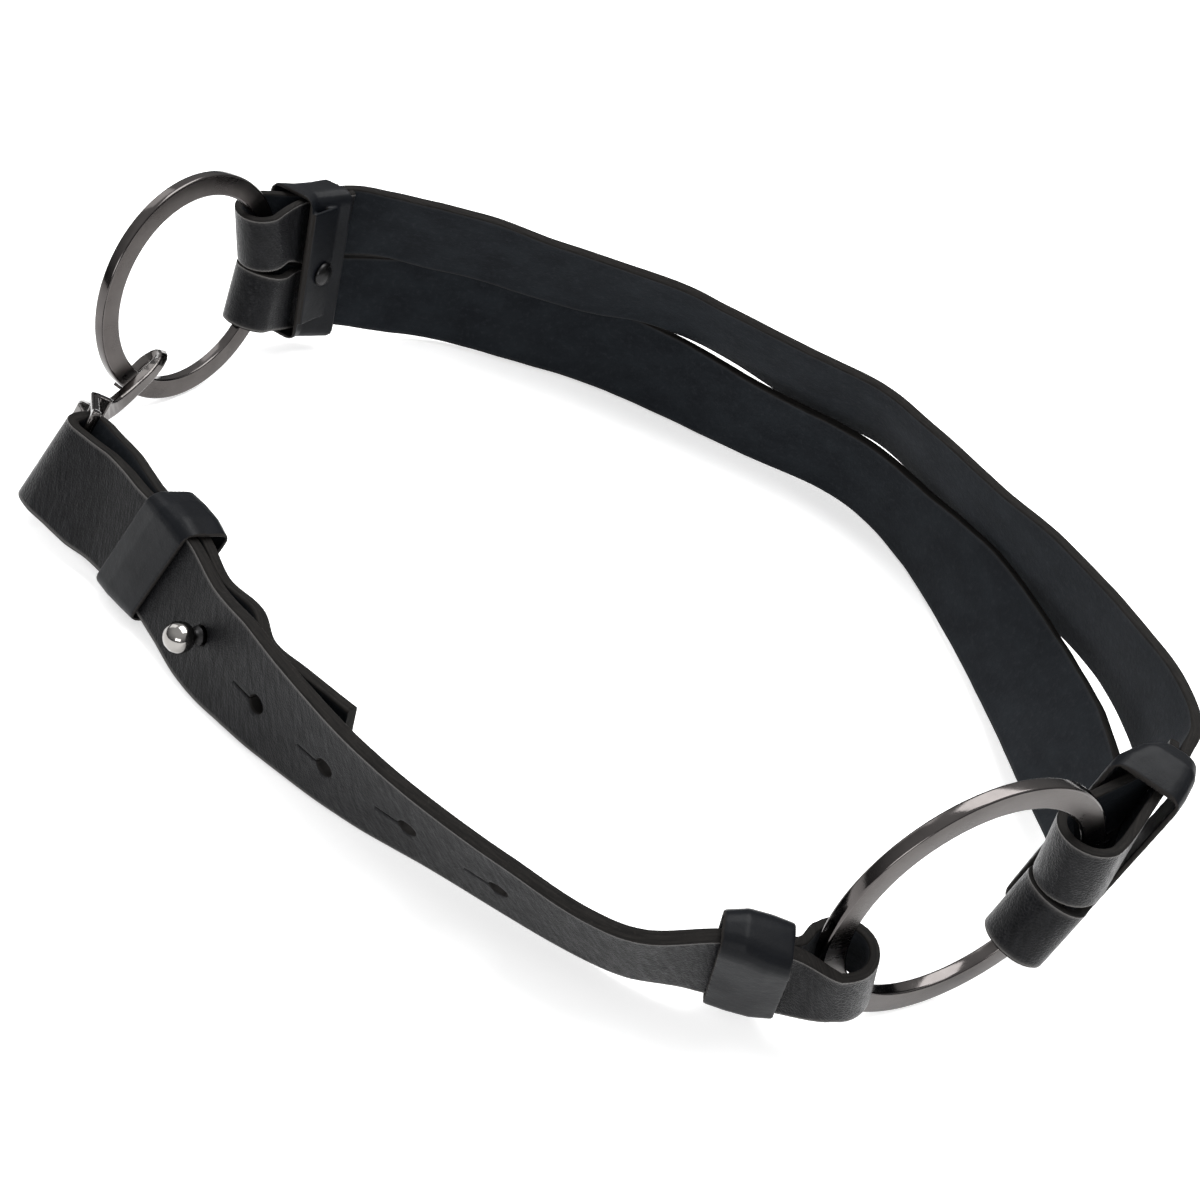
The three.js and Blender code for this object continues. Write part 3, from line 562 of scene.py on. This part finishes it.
def fine_sections(coarse):
    at = [s["at"] for s in coarse]
    at = [2 * at[0] - at[1], *at, 2 * at[-1] - at[-2]]
    last = len(coarse) - 1
    result = []
    for i in range(last):
        four = [coarse[max(i - 1, 0)], coarse[i], coarse[i + 1], coarse[min(i + 2, last)]]
        steps = max(2, math.ceil(np.linalg.norm(at[i + 2] - at[i + 1]) / FINE_STEP))
        for k in range(steps):
            t = k / steps
            up = unit(smooth_value(*(s["up"] for s in four), t))
            width = four[1]["width"] * (1 - t) + four[2]["width"] * t
            thick = four[1]["thick"] * (1 - t) + four[2]["thick"] * t
            result.append(section(curve_part(*at[i : i + 4], t), up, width, thick))
    result.append(dict(coarse[-1]))
    places = np.array([s["at"] for s in result])
    for i, s in enumerate(result):
        s["ahead"] = unit(places[min(i + 1, len(places) - 1)] - places[max(i - 1, 0)])
        s["face"] = unit(np.cross(s["up"], s["ahead"]))
        s["at"] = places[i] + STEP_TO_FRAME
    return result


fine = {name: fine_sections(rows) for name, rows in sections.items()}
print("fine sections:", {name: len(rows) for name, rows in fine.items()})

# %% [markdown]
# ## The strap's surface
# Each fine section becomes a rounded outline: two broad faces, two cut edges and small rounds between
# them. Soft dents and a slightly uneven cut are moved into the points themselves, since leather is never
# quite flat. The surface keeps its own map, metres along and round the strap, and two attributes for the
# finishes: how near a point is to the rim, which places a painted highlight along the border, and how
# hard the strap bends there.

# %% The outline of a section
ROUND = 0.45
SHARES = (
    *(0, 0.012, 0.035, 0.09, 0.17, 0.25, 0.33, 0.42),
    *(0.5, 0.58, 0.67, 0.75, 0.83, 0.91, 0.965, 0.988),
)
STRAP_FINISHES = (STRAP_GRAIN, STRAP_FLESH, STRAP_EDGE)
GRAIN, FLESH, CUT = range(3)


def outline(width, thick):
    """Points round a section as (u, v, finish), u along the width and v through the thickness."""
    w, t = width / 2, thick / 2
    points = [(-w + ROUND + (width - 2 * ROUND) * share, -t, FLESH) for share in SHARES]
    for v, first_angle in ((-t + ROUND, 270), (t - ROUND, 0)):
        for k in range(4):
            a = math.radians(first_angle + 30 * k)
            points.append((w - ROUND + ROUND * math.cos(a), v + ROUND * math.sin(a), CUT))
        if v < 0:
            points.append((w, 0, CUT))
    points.pop()
    return points + [(-u, -v, GRAIN if finish == FLESH else finish) for u, v, finish in points]


print("points round a section:", len(outline(STRAP_WIDTH, BACK_THICK)))

# %% The surface of a strap
DENT = 0.16
DENT_PACE = 0.055
DENT_PACE_ACROSS = 0.07
EDGE_DENT_SHARE = 0.8
CUT_WANDER = 0.14
CUT_PACE = 0.11
RIM_HIGHLIGHT_WIDTH = 0.7
BEND_REACH = 3
FULL_BEND = 0.9
SEAM_MARGIN = 0.001


def wander(*place):
    return noise.noise(Vector(place))


def moved_point(s, u, v, run, seed):
    """A point of a section, moved by the uneven cut and the soft dents."""
    cut = CUT_WANDER * wander(run * CUT_PACE, seed, math.copysign(3, u)) * abs(2 * u / s["width"]) ** 4
    on_face = abs(v) > 0.9 * s["thick"] / 2
    share = 1 if on_face else EDGE_DENT_SHARE
    dent = DENT * wander(run * DENT_PACE, u * DENT_PACE_ACROSS, seed + 5) * share
    return s["at"] + s["up"] * (u + cut) + s["face"] * (v + dent)


def bend_at(rows, i):
    """How hard the strap bends at a section: the turn between its neighbours, as a share of a full bend."""
    near = rows[max(i - BEND_REACH, 0)]["ahead"] @ rows[min(i + BEND_REACH, len(rows) - 1)]["ahead"]
    return min(1.0, math.acos(max(-1.0, min(1.0, near))) / FULL_BEND)


def strap_mesh(name, rows, seed):
    bm = bmesh.new()
    rim_highlight_layer = bm.verts.layers.float.new("rim")
    bend_layer = bm.verts.layers.float.new("bend")
    uv_layer = bm.loops.layers.uv.new("UVMap")
    loops, maps, run = [], [], 0.0
    for i, s in enumerate(rows):
        if i:
            run += float(np.linalg.norm(s["at"] - rows[i - 1]["at"]))
        loop, places, around, before = [], [], 0.0, None
        for u, v, _ in outline(s["width"], s["thick"]):
            vert = bm.verts.new(moved_point(s, u, v, run, seed) * MM)
            from_rim = max(0.0, s["width"] / 2 - ROUND - abs(u))
            # Nearness to the rim: how much of the painted highlight line the faces carry here.
            vert[rim_highlight_layer] = max(0.0, 1 - from_rim / RIM_HIGHLIGHT_WIDTH)
            vert[bend_layer] = bend_at(rows, i)
            around += 0 if before is None else math.hypot(u - before[0], v - before[1])
            before = (u, v)
            loop.append(vert)
            places.append((run * MM, around * MM))
        loops.append(loop)
        maps.append(places)
    finishes = [finish for _, _, finish in outline(STRAP_WIDTH, BACK_THICK)]
    size = len(finishes)
    for i in range(len(loops) - 1):
        for j in range(size):
            k = (j + 1) % size
            face = bm.faces.new((loops[i][j], loops[i][k], loops[i + 1][k], loops[i + 1][j]))
            face.material_index = finishes[j]
            face.smooth = True
            at_seam = maps[i][j][1] + SEAM_MARGIN
            spots = (maps[i][j], maps[i][k], maps[i + 1][k], maps[i + 1][j])
            for n, (corner, spot) in enumerate(zip(face.loops, spots)):
                corner[uv_layer].uv = (spot[0], at_seam if k == 0 and n in (1, 2) else spot[1])
    for loop in (loops[0], loops[-1]):
        cap = bm.faces.new(loop)
        cap.material_index = CUT
        for n, corner in enumerate(cap.loops):
            corner[uv_layer].uv = (maps[0][n % size][1], 0.0)
    bmesh.ops.recalc_face_normals(bm, faces=bm.faces)
    mesh = mesh_from(bm, name, STRAP_FINISHES)
    print(name, "length", round(run), "mm,", len(mesh.polygons), "faces")
    return in_scene(name, mesh)


straps = {
    name: strap_mesh(name + "_strap_leather", rows, seed)
    for (name, rows), seed in zip(fine.items(), (1.0, 2.0, 3.0))
}

# %% [markdown]
# ## Punched holes
# Four round holes with a slit towards the stud let the ball through. On a flat sheet they could be drawn,
# but this strap leans and bends, so each punch has to stand square to the leather where it strikes.
# Geometry Nodes place one punch on each of four points that carry the turn of the strap there. A boolean
# then cuts the strap, and the punch hands its raw leather finish to the walls of the cut.

# %% Place the punches along the strap
HOLES = [
    {"x": -3.0, "height": 14.0},
    {"x": 20.5, "height": 14.0},
    {"x": 44.0, "height": 14.5},
    {"x": 67.5, "height": 14.5},
]
STUD_PLACE = {"x": -27.0, "height": 15.5}
PUNCH_PROFILE = [
    {"radius": 2.3, "height": 1.1},
    {"radius": 2.65, "height": 1.75},
    {"radius": 3.4, "height": 4.0},
]
SLIT_LENGTH = 8.8
SLIT_WIDTH = 0.5
SLIT_END_SHARE = 0.35
BEYOND_FOLD = 60


def strap_spot(x, height):
    """A spot on the outer ply: its place and its directions along and out of the strap."""
    x = x + STEP_TO_FRAME[0]
    outer_ply = [s for s in front_rows[BEYOND_FOLD:] if s["ahead"][0] < 0]
    near = min(outer_ply, key=lambda s: abs(s["at"][0] - x))
    up = np.cross(near["ahead"], near["face"])
    place = near["at"] + up * (height - near["width"] / 2) - near["ahead"] * (x - near["at"][0])
    face = near["face"] if near["face"][1] < 0 else -near["face"]
    return place, near["ahead"], face


def punch_mesh():
    """A round punch that flares at both faces of the leather."""
    bm = bmesh.new()
    upper = [(p["radius"], p["height"]) for p in PUNCH_PROFILE] + [(0, PUNCH_PROFILE[-1]["height"])]
    profile = [(r, -h) for r, h in upper[::-1]] + upper
    verts = [bm.verts.new((r * MM, 0, z * MM)) for r, z in profile]
    edges = [bm.edges.new(pair) for pair in zip(verts, verts[1:])]
    bmesh.ops.spin(bm, geom=verts + edges, axis=(0, 0, 1), cent=(0, 0, 0), angle=math.tau, steps=56)
    bmesh.ops.remove_doubles(bm, verts=bm.verts, dist=0.0001 * MM)
    bmesh.ops.recalc_face_normals(bm, faces=bm.faces)
    return mesh_from(bm, "punch")


def blade_mesh():
    """A thin blade from the middle of the punch to the end of the slit, where it is narrower."""
    bm = bmesh.new()
    bmesh.ops.create_cube(bm, size=1.0)
    for v in bm.verts:
        narrow = SLIT_END_SHARE if v.co.x > 0 else 1.0
        depth = v.co.z * 2 * PUNCH_PROFILE[-1]["height"] * MM
        v.co = ((v.co.x + 0.5) * SLIT_LENGTH * MM, v.co.y * SLIT_WIDTH * narrow * MM, depth)
    return mesh_from(bm, "blade")


front_rows = fine["front"]
spots = [strap_spot(**hole) for hole in HOLES]
print("holes at", [tuple(spot[0].round(1)) for spot in spots])

# %% Instance the punches and cut
PUNCH_SIZE = 1.0


def punch_tree(tool):
    tree = bpy.data.node_groups.new("punches", "GeometryNodeTree")
    face = tree.interface
    face.new_socket("Points", in_out="INPUT", socket_type="NodeSocketGeometry")
    size = face.new_socket("Punch size", in_out="INPUT", socket_type="NodeSocketFloat")
    face.new_socket("Punches", in_out="OUTPUT", socket_type="NodeSocketGeometry")
    entry = tree.nodes.new("NodeGroupInput")
    leave = tree.nodes.new("NodeGroupOutput")
    shape = tree.nodes.new("GeometryNodeObjectInfo")
    shape.inputs["Object"].default_value = tool
    turn = tree.nodes.new("GeometryNodeInputNamedAttribute")
    turn.data_type = "FLOAT_VECTOR"
    turn.inputs["Name"].default_value = "turn"
    put = tree.nodes.new("GeometryNodeInstanceOnPoints")
    real = tree.nodes.new("GeometryNodeRealizeInstances")
    paint = tree.nodes.new("GeometryNodeSetMaterial")
    paint.inputs["Material"].default_value = STRAP_EDGE
    join = tree.links.new
    join(entry.outputs["Points"], put.inputs["Points"])
    join(entry.outputs["Punch size"], put.inputs["Scale"])
    join(shape.outputs["Geometry"], put.inputs["Instance"])
    join(turn.outputs["Attribute"], put.inputs["Rotation"])
    join(put.outputs["Instances"], real.inputs["Geometry"])
    join(real.outputs["Geometry"], paint.inputs["Geometry"])
    join(paint.outputs["Geometry"], leave.inputs["Punches"])
    return tree, size.identifier


def punches_on(spots, tool_mesh):
    """A cutter with the tool standing square to the leather on each spot."""
    tool = in_scene("tool", tool_mesh)
    mesh = bpy.data.meshes.new("spots")
    mesh.from_pydata([tuple(spot[0] * MM) for spot in spots], [], [])
    turn = mesh.attributes.new("turn", "FLOAT_VECTOR", "POINT")
    for i, (_, ahead, face) in enumerate(spots):
        basis = Matrix((ahead, np.cross(face, ahead), face)).transposed()
        turn.data[i].vector = basis.to_euler()
    points = in_scene("spots", mesh)
    tree, size_input = punch_tree(tool)
    modifier = points.modifiers.new("punches", "NODES")
    modifier.node_group = tree
    modifier[size_input] = PUNCH_SIZE
    made = evaluated_mesh(points)
    points.modifiers.remove(modifier)
    for used in (points, tool):
        bpy.data.objects.remove(used)
    return in_scene("cutter", made)


def cut_with(piece, cutter):
    modifier = piece.modifiers.new("cut", "BOOLEAN")
    modifier.operation = "DIFFERENCE"
    modifier.solver = "EXACT"
    modifier.material_mode = "TRANSFER"
    modifier.object = cutter
    made = evaluated_mesh(piece)
    piece.modifiers.remove(modifier)
    piece.data = made
    bpy.data.objects.remove(cutter)


# %% [markdown]
# ## Cut one stretch at a time
# The tail lies right behind the outer ply, and a boolean on the whole strap would meet both. So a stretch
# of the strap is lifted out and closed at its ends, cut, opened again and sewn back to its neighbours.

# %% Cut stretches of the front strap
CAP = len(STRAP_FINISHES)
SEW_REACH = 0.01
OUTER_STRETCH = {"low_x": -45, "high_x": 90, "outer": True}
TAIL_STRETCH = {"low_x": -45, "high_x": 5, "outer": False}
TAIL_BEHIND = 3.6


def stretch_of(piece, first, last, size):
    bm = bmesh.new()
    bm.from_mesh(piece.data)
    away = [f for f in bm.faces if not first * size <= f.index < last * size]
    bmesh.ops.delete(bm, geom=away, context="FACES")
    rims = [e for e in bm.edges if e.is_boundary]
    caps = bmesh.ops.holes_fill(bm, edges=rims, sides=0)["faces"]
    for face in caps:
        face.material_index = CAP
    bmesh.ops.recalc_face_normals(bm, faces=bm.faces)
    mesh = piece.data.copy()
    bm.to_mesh(mesh)
    bm.free()
    mesh.materials.append(STRAP_EDGE)
    return in_scene("stretch", mesh)


def cut_stretches(piece, rows, jobs):
    size = (len(piece.data.polygons) - 2) // (len(rows) - 1)
    bm = bmesh.new()
    bm.from_mesh(piece.data)
    taken = [f for f in bm.faces if any(a * size <= f.index < b * size for a, b, _ in jobs)]
    bmesh.ops.delete(bm, geom=taken, context="FACES")
    for first, last, cutters in jobs:
        stretch = stretch_of(piece, first, last, size)
        for cutter in cutters:
            cut_with(stretch, cutter)
        part = bmesh.new()
        part.from_mesh(stretch.data)
        bmesh.ops.delete(part, geom=[f for f in part.faces if f.material_index == CAP], context="FACES")
        for face in part.faces:
            if face.material_index > CAP:
                face.material_index = CUT
        part.to_mesh(stretch.data)
        part.free()
        bm.from_mesh(stretch.data)
        bpy.data.objects.remove(stretch)
    bmesh.ops.remove_doubles(bm, verts=[v for v in bm.verts if v.is_boundary], dist=SEW_REACH * MM)
    bmesh.ops.recalc_face_normals(bm, faces=bm.faces)
    print("open edges left:", sum(1 for e in bm.edges if len(e.link_faces) != 2))
    bm.to_mesh(piece.data)
    bm.free()


def rows_between(rows, low_x, high_x, outer):
    """The first and last fine section of the outer ply, or of the tail, between two places along x."""
    found = [i for i, s in enumerate(rows) if low_x < s["at"][0] < high_x and (s["ahead"][0] < 0) == outer]
    return found[0], found[-1]


at_stud, ahead, face = strap_spot(**STUD_PLACE)
stud_cutter = punches_on([(at_stud, ahead, face)], punch_mesh())
tail_cutter = punches_on([(at_stud - face * TAIL_BEHIND, ahead, face)], punch_mesh())
hole_cutters = [punches_on(spots, punch_mesh()), punches_on(spots, blade_mesh())]
outer_job = (*rows_between(front_rows, **OUTER_STRETCH), [*hole_cutters, stud_cutter])
tail_job = (*rows_between(front_rows, **TAIL_STRETCH), [tail_cutter])
cut_stretches(straps["front"], front_rows, [outer_job, tail_job])
print("front strap after punching:", len(straps["front"].data.polygons), "faces")

# %% [markdown]
# ## Turned pieces
# Rings, stud and rivet are round about an axis, so each is a profile turned in many small steps, which
# gives clean highlights where the CAD facets would flash. The rings' profile comes from the sizes that
# the CAD uses, with a small round at each corner. Their broad faces get one finish and their walls the
# other.

# %% Turn a profile
TURN_STEPS = 192
RING_BAR_RADIAL = 6.3
RING_BAR_AXIAL = 3.2
RING_BAR_ROUND = 0.6
TINY = 1e-6


def turned(name, profile, centre, axis, steps, materials, finish_of):
    """A closed profile of (radius, height) turned about an axis."""
    axis = unit(np.array(axis))
    side = unit(np.cross(axis, [0.3, 0.2, 0.9]))
    third = np.cross(axis, side)
    bm = bmesh.new()
    rings = []
    for i in range(steps):
        a = math.tau * i / steps
        out = side * math.cos(a) + third * math.sin(a)
        rings.append([bm.verts.new((centre + out * r + axis * h) * MM) for r, h in profile])
    count = len(profile)
    for i in range(steps):
        here, there = rings[i], rings[(i + 1) % steps]
        for j in range(count):
            k = (j + 1) % count
            if profile[j][0] < TINY and profile[k][0] < TINY:
                continue
            face = bm.faces.new((here[j], here[k], there[k], there[j]))
            face.material_index = finish_of(profile[j], profile[k])
            face.smooth = True
    bmesh.ops.remove_doubles(bm, verts=bm.verts, dist=0.0005 * MM)
    bmesh.ops.dissolve_degenerate(bm, edges=bm.edges, dist=0.0002 * MM)
    bmesh.ops.recalc_face_normals(bm, faces=bm.faces)
    mesh = mesh_from(bm, name, materials)
    print(name, "faces:", len(mesh.polygons))
    return in_scene(name, mesh)


def corner_arc(r, h, centre_r, centre_h, steps=4):
    """A small rounded corner from (r, centre_h) to (centre_r, h)."""
    radius_r, radius_h = r - centre_r, h - centre_h
    angles = [math.pi / 2 * k / steps for k in range(steps + 1)]
    return [(centre_r + radius_r * math.cos(a), centre_h + radius_h * math.sin(a)) for a in angles]


def ring_profile(inner, outer, half, round_):
    walls = corner_arc(outer, half, outer - round_, half - round_)
    walls += corner_arc(inner, half, inner + round_, half - round_)[::-1]
    walls += corner_arc(inner, -half, inner + round_, -half + round_)
    walls += corner_arc(outer, -half, outer - round_, -half + round_)[::-1]
    return walls


def ring_finish(a, b):
    """The first finish on the broad faces, which are level and wide, and the second on the rest."""
    return 0 if abs(a[1] - b[1]) < 0.02 and abs(a[0] - b[0]) > 1 else 1


rings = {}
profile = ring_profile(RING_RADIUS - RING_BAR_RADIAL, RING_RADIUS, RING_BAR_AXIAL / 2, RING_BAR_ROUND)
for side, ring in RINGS.items():
    centre = np.array([ring["x"], 0, RING_RADIUS]) + STEP_TO_FRAME
    name, finishes = side + "_ring_metal", (RING_FACE, RING_WALL)
    rings[side] = turned(name, profile, centre, ring["face"], TURN_STEPS, finishes, ring_finish)

# %% [markdown]
# ## Stud and rivet
# These two are read back from their CAD solids. The stud's axis is the longest direction of its points,
# which a singular value decomposition finds. The profile then is each point's height along the axis and
# distance from it. The ball is bright down to the stud's neck, and the neck below it is dark metal, painted
# shade under the ball.

# %% Read a turned profile back
FULL_ROW = 15
RIVET_AXIS = (0.975, 0.221, 0)
BALL_DEPTH = 6.6
STUD_STEPS = 96
RIVET_STEPS = 64


def node_points(node):
    return np.unique(np.array([v.co[:] for v in nodes[node].data.vertices]).round(7), axis=0)


def long_axis(node, towards):
    points = node_points(node)
    axis = np.linalg.svd(points - points.mean(0))[2][0]
    return axis if axis @ np.array(towards) > 0 else -axis


def read_profile(node, axis):
    """The profile, centre and axis of a round solid. Its centre is the mean of the full rows of points."""
    points = node_points(node) / MM
    centre = points.mean(0)
    axis = unit(np.array(axis))
    flat = points - centre
    rows = {}
    for height, point in zip(flat @ axis, flat):
        rows.setdefault(round(float(height), 1), []).append(point)
    middles = np.array([np.mean(group, axis=0) for group in rows.values() if len(group) > FULL_ROW])
    centre = centre + np.mean(middles - np.outer(middles @ axis, axis), axis=0)
    flat = points - centre
    heights = flat @ axis
    radii = np.linalg.norm(flat - np.outer(heights, axis), axis=1)
    found = sorted({(round(float(h), 1), round(float(r), 1)) for h, r in zip(heights, radii)})
    return [(r, h) for h, r in found], centre, axis


def turned_again(name, node, axis, steps, materials, first_depth=math.inf):
    """The first material reaches this deep below the piece's top, the second is on the rest."""
    profile, centre, axis = read_profile(node, axis)
    top = max(h for _, h in profile)
    print(node, "profile:", profile)

    def finish(a, b):
        return int(top - min(a[1], b[1]) > first_depth)

    return turned(name, profile, centre, axis, steps, materials, finish)


stud_axis = long_axis("stud", (0, -1, 0))
# The neck below the ball gets the dark metal as painted shade.
stud = turned_again("ball_stud_metal", "stud", stud_axis, STUD_STEPS, (NICKEL, NECK_SHADE_AND_RIVET_METAL), BALL_DEPTH)
rivet = turned_again("band_rivet_metal", "keeper_left_rivet", RIVET_AXIS, RIVET_STEPS, (NECK_SHADE_AND_RIVET_METAL,))

# %% [markdown]
# ## Bands and hook
# A band is a folded strip with soft corners, and the hook is a casting whose parts flow into each other.
# Both have sharp CAD corners. Bevels would have to be set edge by edge, so each solid is remeshed into
# small even squares and then relaxed a few times, which rounds every corner a little and leaves the flats
# alone.

# %% Soften a CAD solid
BAND_CELL = 0.34
BAND_ROUNDS = 9
HOOK_CELL = 0.24
HOOK_ROUNDS = 7
WELD_REACH = 0.002


def softened(name, node, cell, rounds, material, axis=None):
    """A remeshed and relaxed solid. With an axis, faces that look along it are marked as cut."""
    bm = bmesh.new()
    bm.from_mesh(nodes[node].data)
    bmesh.ops.remove_doubles(bm, verts=bm.verts, dist=WELD_REACH * MM)
    made = in_scene(name, mesh_from(bm, name))
    remesh = made.modifiers.new("cells", "REMESH")
    remesh.mode = "VOXEL"
    remesh.voxel_size = cell * MM
    relax = made.modifiers.new("relax", "SMOOTH")
    relax.factor = 0.5
    relax.iterations = rounds
    mesh = evaluated_mesh(made)
    made.modifiers.clear()
    made.data = mesh
    mesh.shade_smooth()
    mesh.materials.clear()
    mesh.materials.append(material)
    if axis is not None:
        cut = mesh.attributes.new("cut", "FLOAT", "POINT")
        axis = unit(np.array(axis))
        cut.data.foreach_set("value", [abs(float(np.dot(v.normal, axis))) for v in mesh.vertices])
    print(name, "faces:", len(mesh.polygons))
    return made


def strap_way(rows, node):
    """The direction of a strap where a band's middle is."""
    middle = np.array(sum(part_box(node), Vector()) / 2) / MM
    return min(rows, key=lambda s: np.linalg.norm(s["at"] - middle))["ahead"]


BAND_WAYS = {
    "hook": strap_way(front_rows, "keeper_hook"),
    "front": strap_way(front_rows, "keeper_front"),
    "left": (0.23, -1, 0),
    "right": (0.22, -1, 0),
}
bands = {}
for band, way in BAND_WAYS.items():
    node = "keeper_" + band
    bands[node] = softened(band + "_band_leather", node, BAND_CELL, BAND_ROUNDS, BAND_LEATHER, way)
hook = softened("hook_cast_metal", "hook", HOOK_CELL, HOOK_ROUNDS, HOOK_METAL)

# %% [markdown]
# ## Tie every piece to the frame
# Each visible piece rides on the root body and stands in for the CAD node it was made from, which is
# hidden, so another program can move it.

# %% Ride and replace
PIECES = [
    *[(piece, "strap_" + name, "strap_leather") for name, piece in straps.items()],
    *[(piece, "ring_" + side, "gunmetal") for side, piece in rings.items()],
    (stud, "stud", "nickel"),
    (rivet, "keeper_left_rivet", "gunmetal"),
    (hook, "hook", "gunmetal"),
    *[(piece, node, "keeper_leather") for node, piece in bands.items()],
]
for piece, node, slot_name in PIECES:
    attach(piece, "root")
    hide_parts(node)
print("pieces tied:", len(PIECES))

# %% [markdown]
# ## Studio
# The photo has a white table, soft light from above and a camera held a little high at the front right,
# rolled by hand. A large pale floor, three broad lamps and a bright sky give the same. The floor glows a
# little, as overexposed paper seems to do. The sky is lighter above than at the horizon, so that the
# metal shows a dark band between two bright ones.

# %% Floor and lamps
FLOOR_HALF = 4.0
FLOOR_GLOW = 0.5
LAMPS = {
    "above": {"place": (0.0, 0.25, 0.9), "aim": (0, 0, 0), "size": (0.9, 0.6), "power": 11},
    "left": {"place": (-0.9, -0.1, 0.6), "aim": (0, 0, 0.03), "size": (0.4, 0.8), "power": 2},
    "front": {"place": (0.7, -0.9, 0.4), "aim": (0, 0, 0.03), "size": (0.7, 0.3), "power": 4.5},
}


def pale_floor():
    t = Tree("floor_paper")
    tone = t.mix(t.noise(t.solid_place(), 6.0, 2.0), (0.86, 0.86, 0.86), (0.9, 0.9, 0.9))
    return t.finish(Base_Color=tone, Roughness=0.9, Emission_Color=(1, 1, 1, 1), Emission_Strength=FLOOR_GLOW)


floor_mesh = bpy.data.meshes.new("floor")
floor_corners = [(x * FLOOR_HALF, y * FLOOR_HALF, 0) for x, y in ((-1, -1), (1, -1), (1, 1), (-1, 1))]
floor_mesh.from_pydata(floor_corners, [], [(0, 1, 2, 3)])
floor_mesh.materials.append(pale_floor())
floor = in_scene("floor", floor_mesh)


def lamp(name, place, aim, size, power):
    light = bpy.data.lights.new(name, "AREA")
    light.shape = "RECTANGLE"
    light.size, light.size_y = size
    light.energy = power
    made = in_scene(name, light)
    made.location = place
    made.rotation_euler = (Vector(aim) - Vector(place)).to_track_quat("-Z", "Y").to_euler()


for name, settings in LAMPS.items():
    lamp(name, **settings)
print("lamps:", ", ".join(LAMPS))

# %% Sky
SKY_STRENGTH = 0.85
SKY_STOPS = (
    {"position": 0.05, "color": (0.12, 0.12, 0.125, 1)},
    {"position": 0.75, "color": (1, 1, 1, 1)},
)

world = bpy.data.worlds.new("sky")
world.use_nodes = True
bpy.context.scene.world = world
sky = world.node_tree
direction = sky.nodes.new("ShaderNodeTexCoord")
split = sky.nodes.new("ShaderNodeSeparateXYZ")
ramp = sky.nodes.new("ShaderNodeValToRGB")
for element, stop in zip(ramp.color_ramp.elements, SKY_STOPS):
    element.position = stop["position"]
    element.color = stop["color"]
sky.links.new(direction.outputs["Generated"], split.inputs[0])
sky.links.new(split.outputs["Z"], ramp.inputs[0])
sky.links.new(ramp.outputs[0], sky.nodes["Background"].inputs["Color"])
sky.nodes["Background"].inputs["Strength"].default_value = SKY_STRENGTH
print("sky strength", SKY_STRENGTH)

# %% Camera
CAMERA_PLACE = Vector((np.array([185.2, -247.0, 250.1]) + STEP_TO_FRAME) * MM)
CAMERA_AIM = Vector((np.array([14.8, 22.3, 19.1]) + STEP_TO_FRAME) * MM)
CAMERA_ROLL = 17.9
CAMERA_SENSOR = 36
CAMERA_LENS = 45
CAMERA_CLIP = 0.01

camera = in_scene("camera", bpy.data.cameras.new("camera"))
camera.data.sensor_width = CAMERA_SENSOR
camera.data.lens = CAMERA_LENS
camera.data.clip_start = CAMERA_CLIP
camera.location = CAMERA_PLACE
look = (CAMERA_AIM - CAMERA_PLACE).to_track_quat("-Z", "Y").to_matrix()
camera.rotation_euler = (look @ Matrix.Rotation(math.radians(CAMERA_ROLL), 3, "Z")).to_euler()
bpy.context.scene.camera = camera
bpy.context.scene.view_settings.view_transform = "Standard"
print("camera at", tuple(round(c, 3) for c in camera.location))

# %% Bring the scene up to date
bpy.context.view_layer.update()
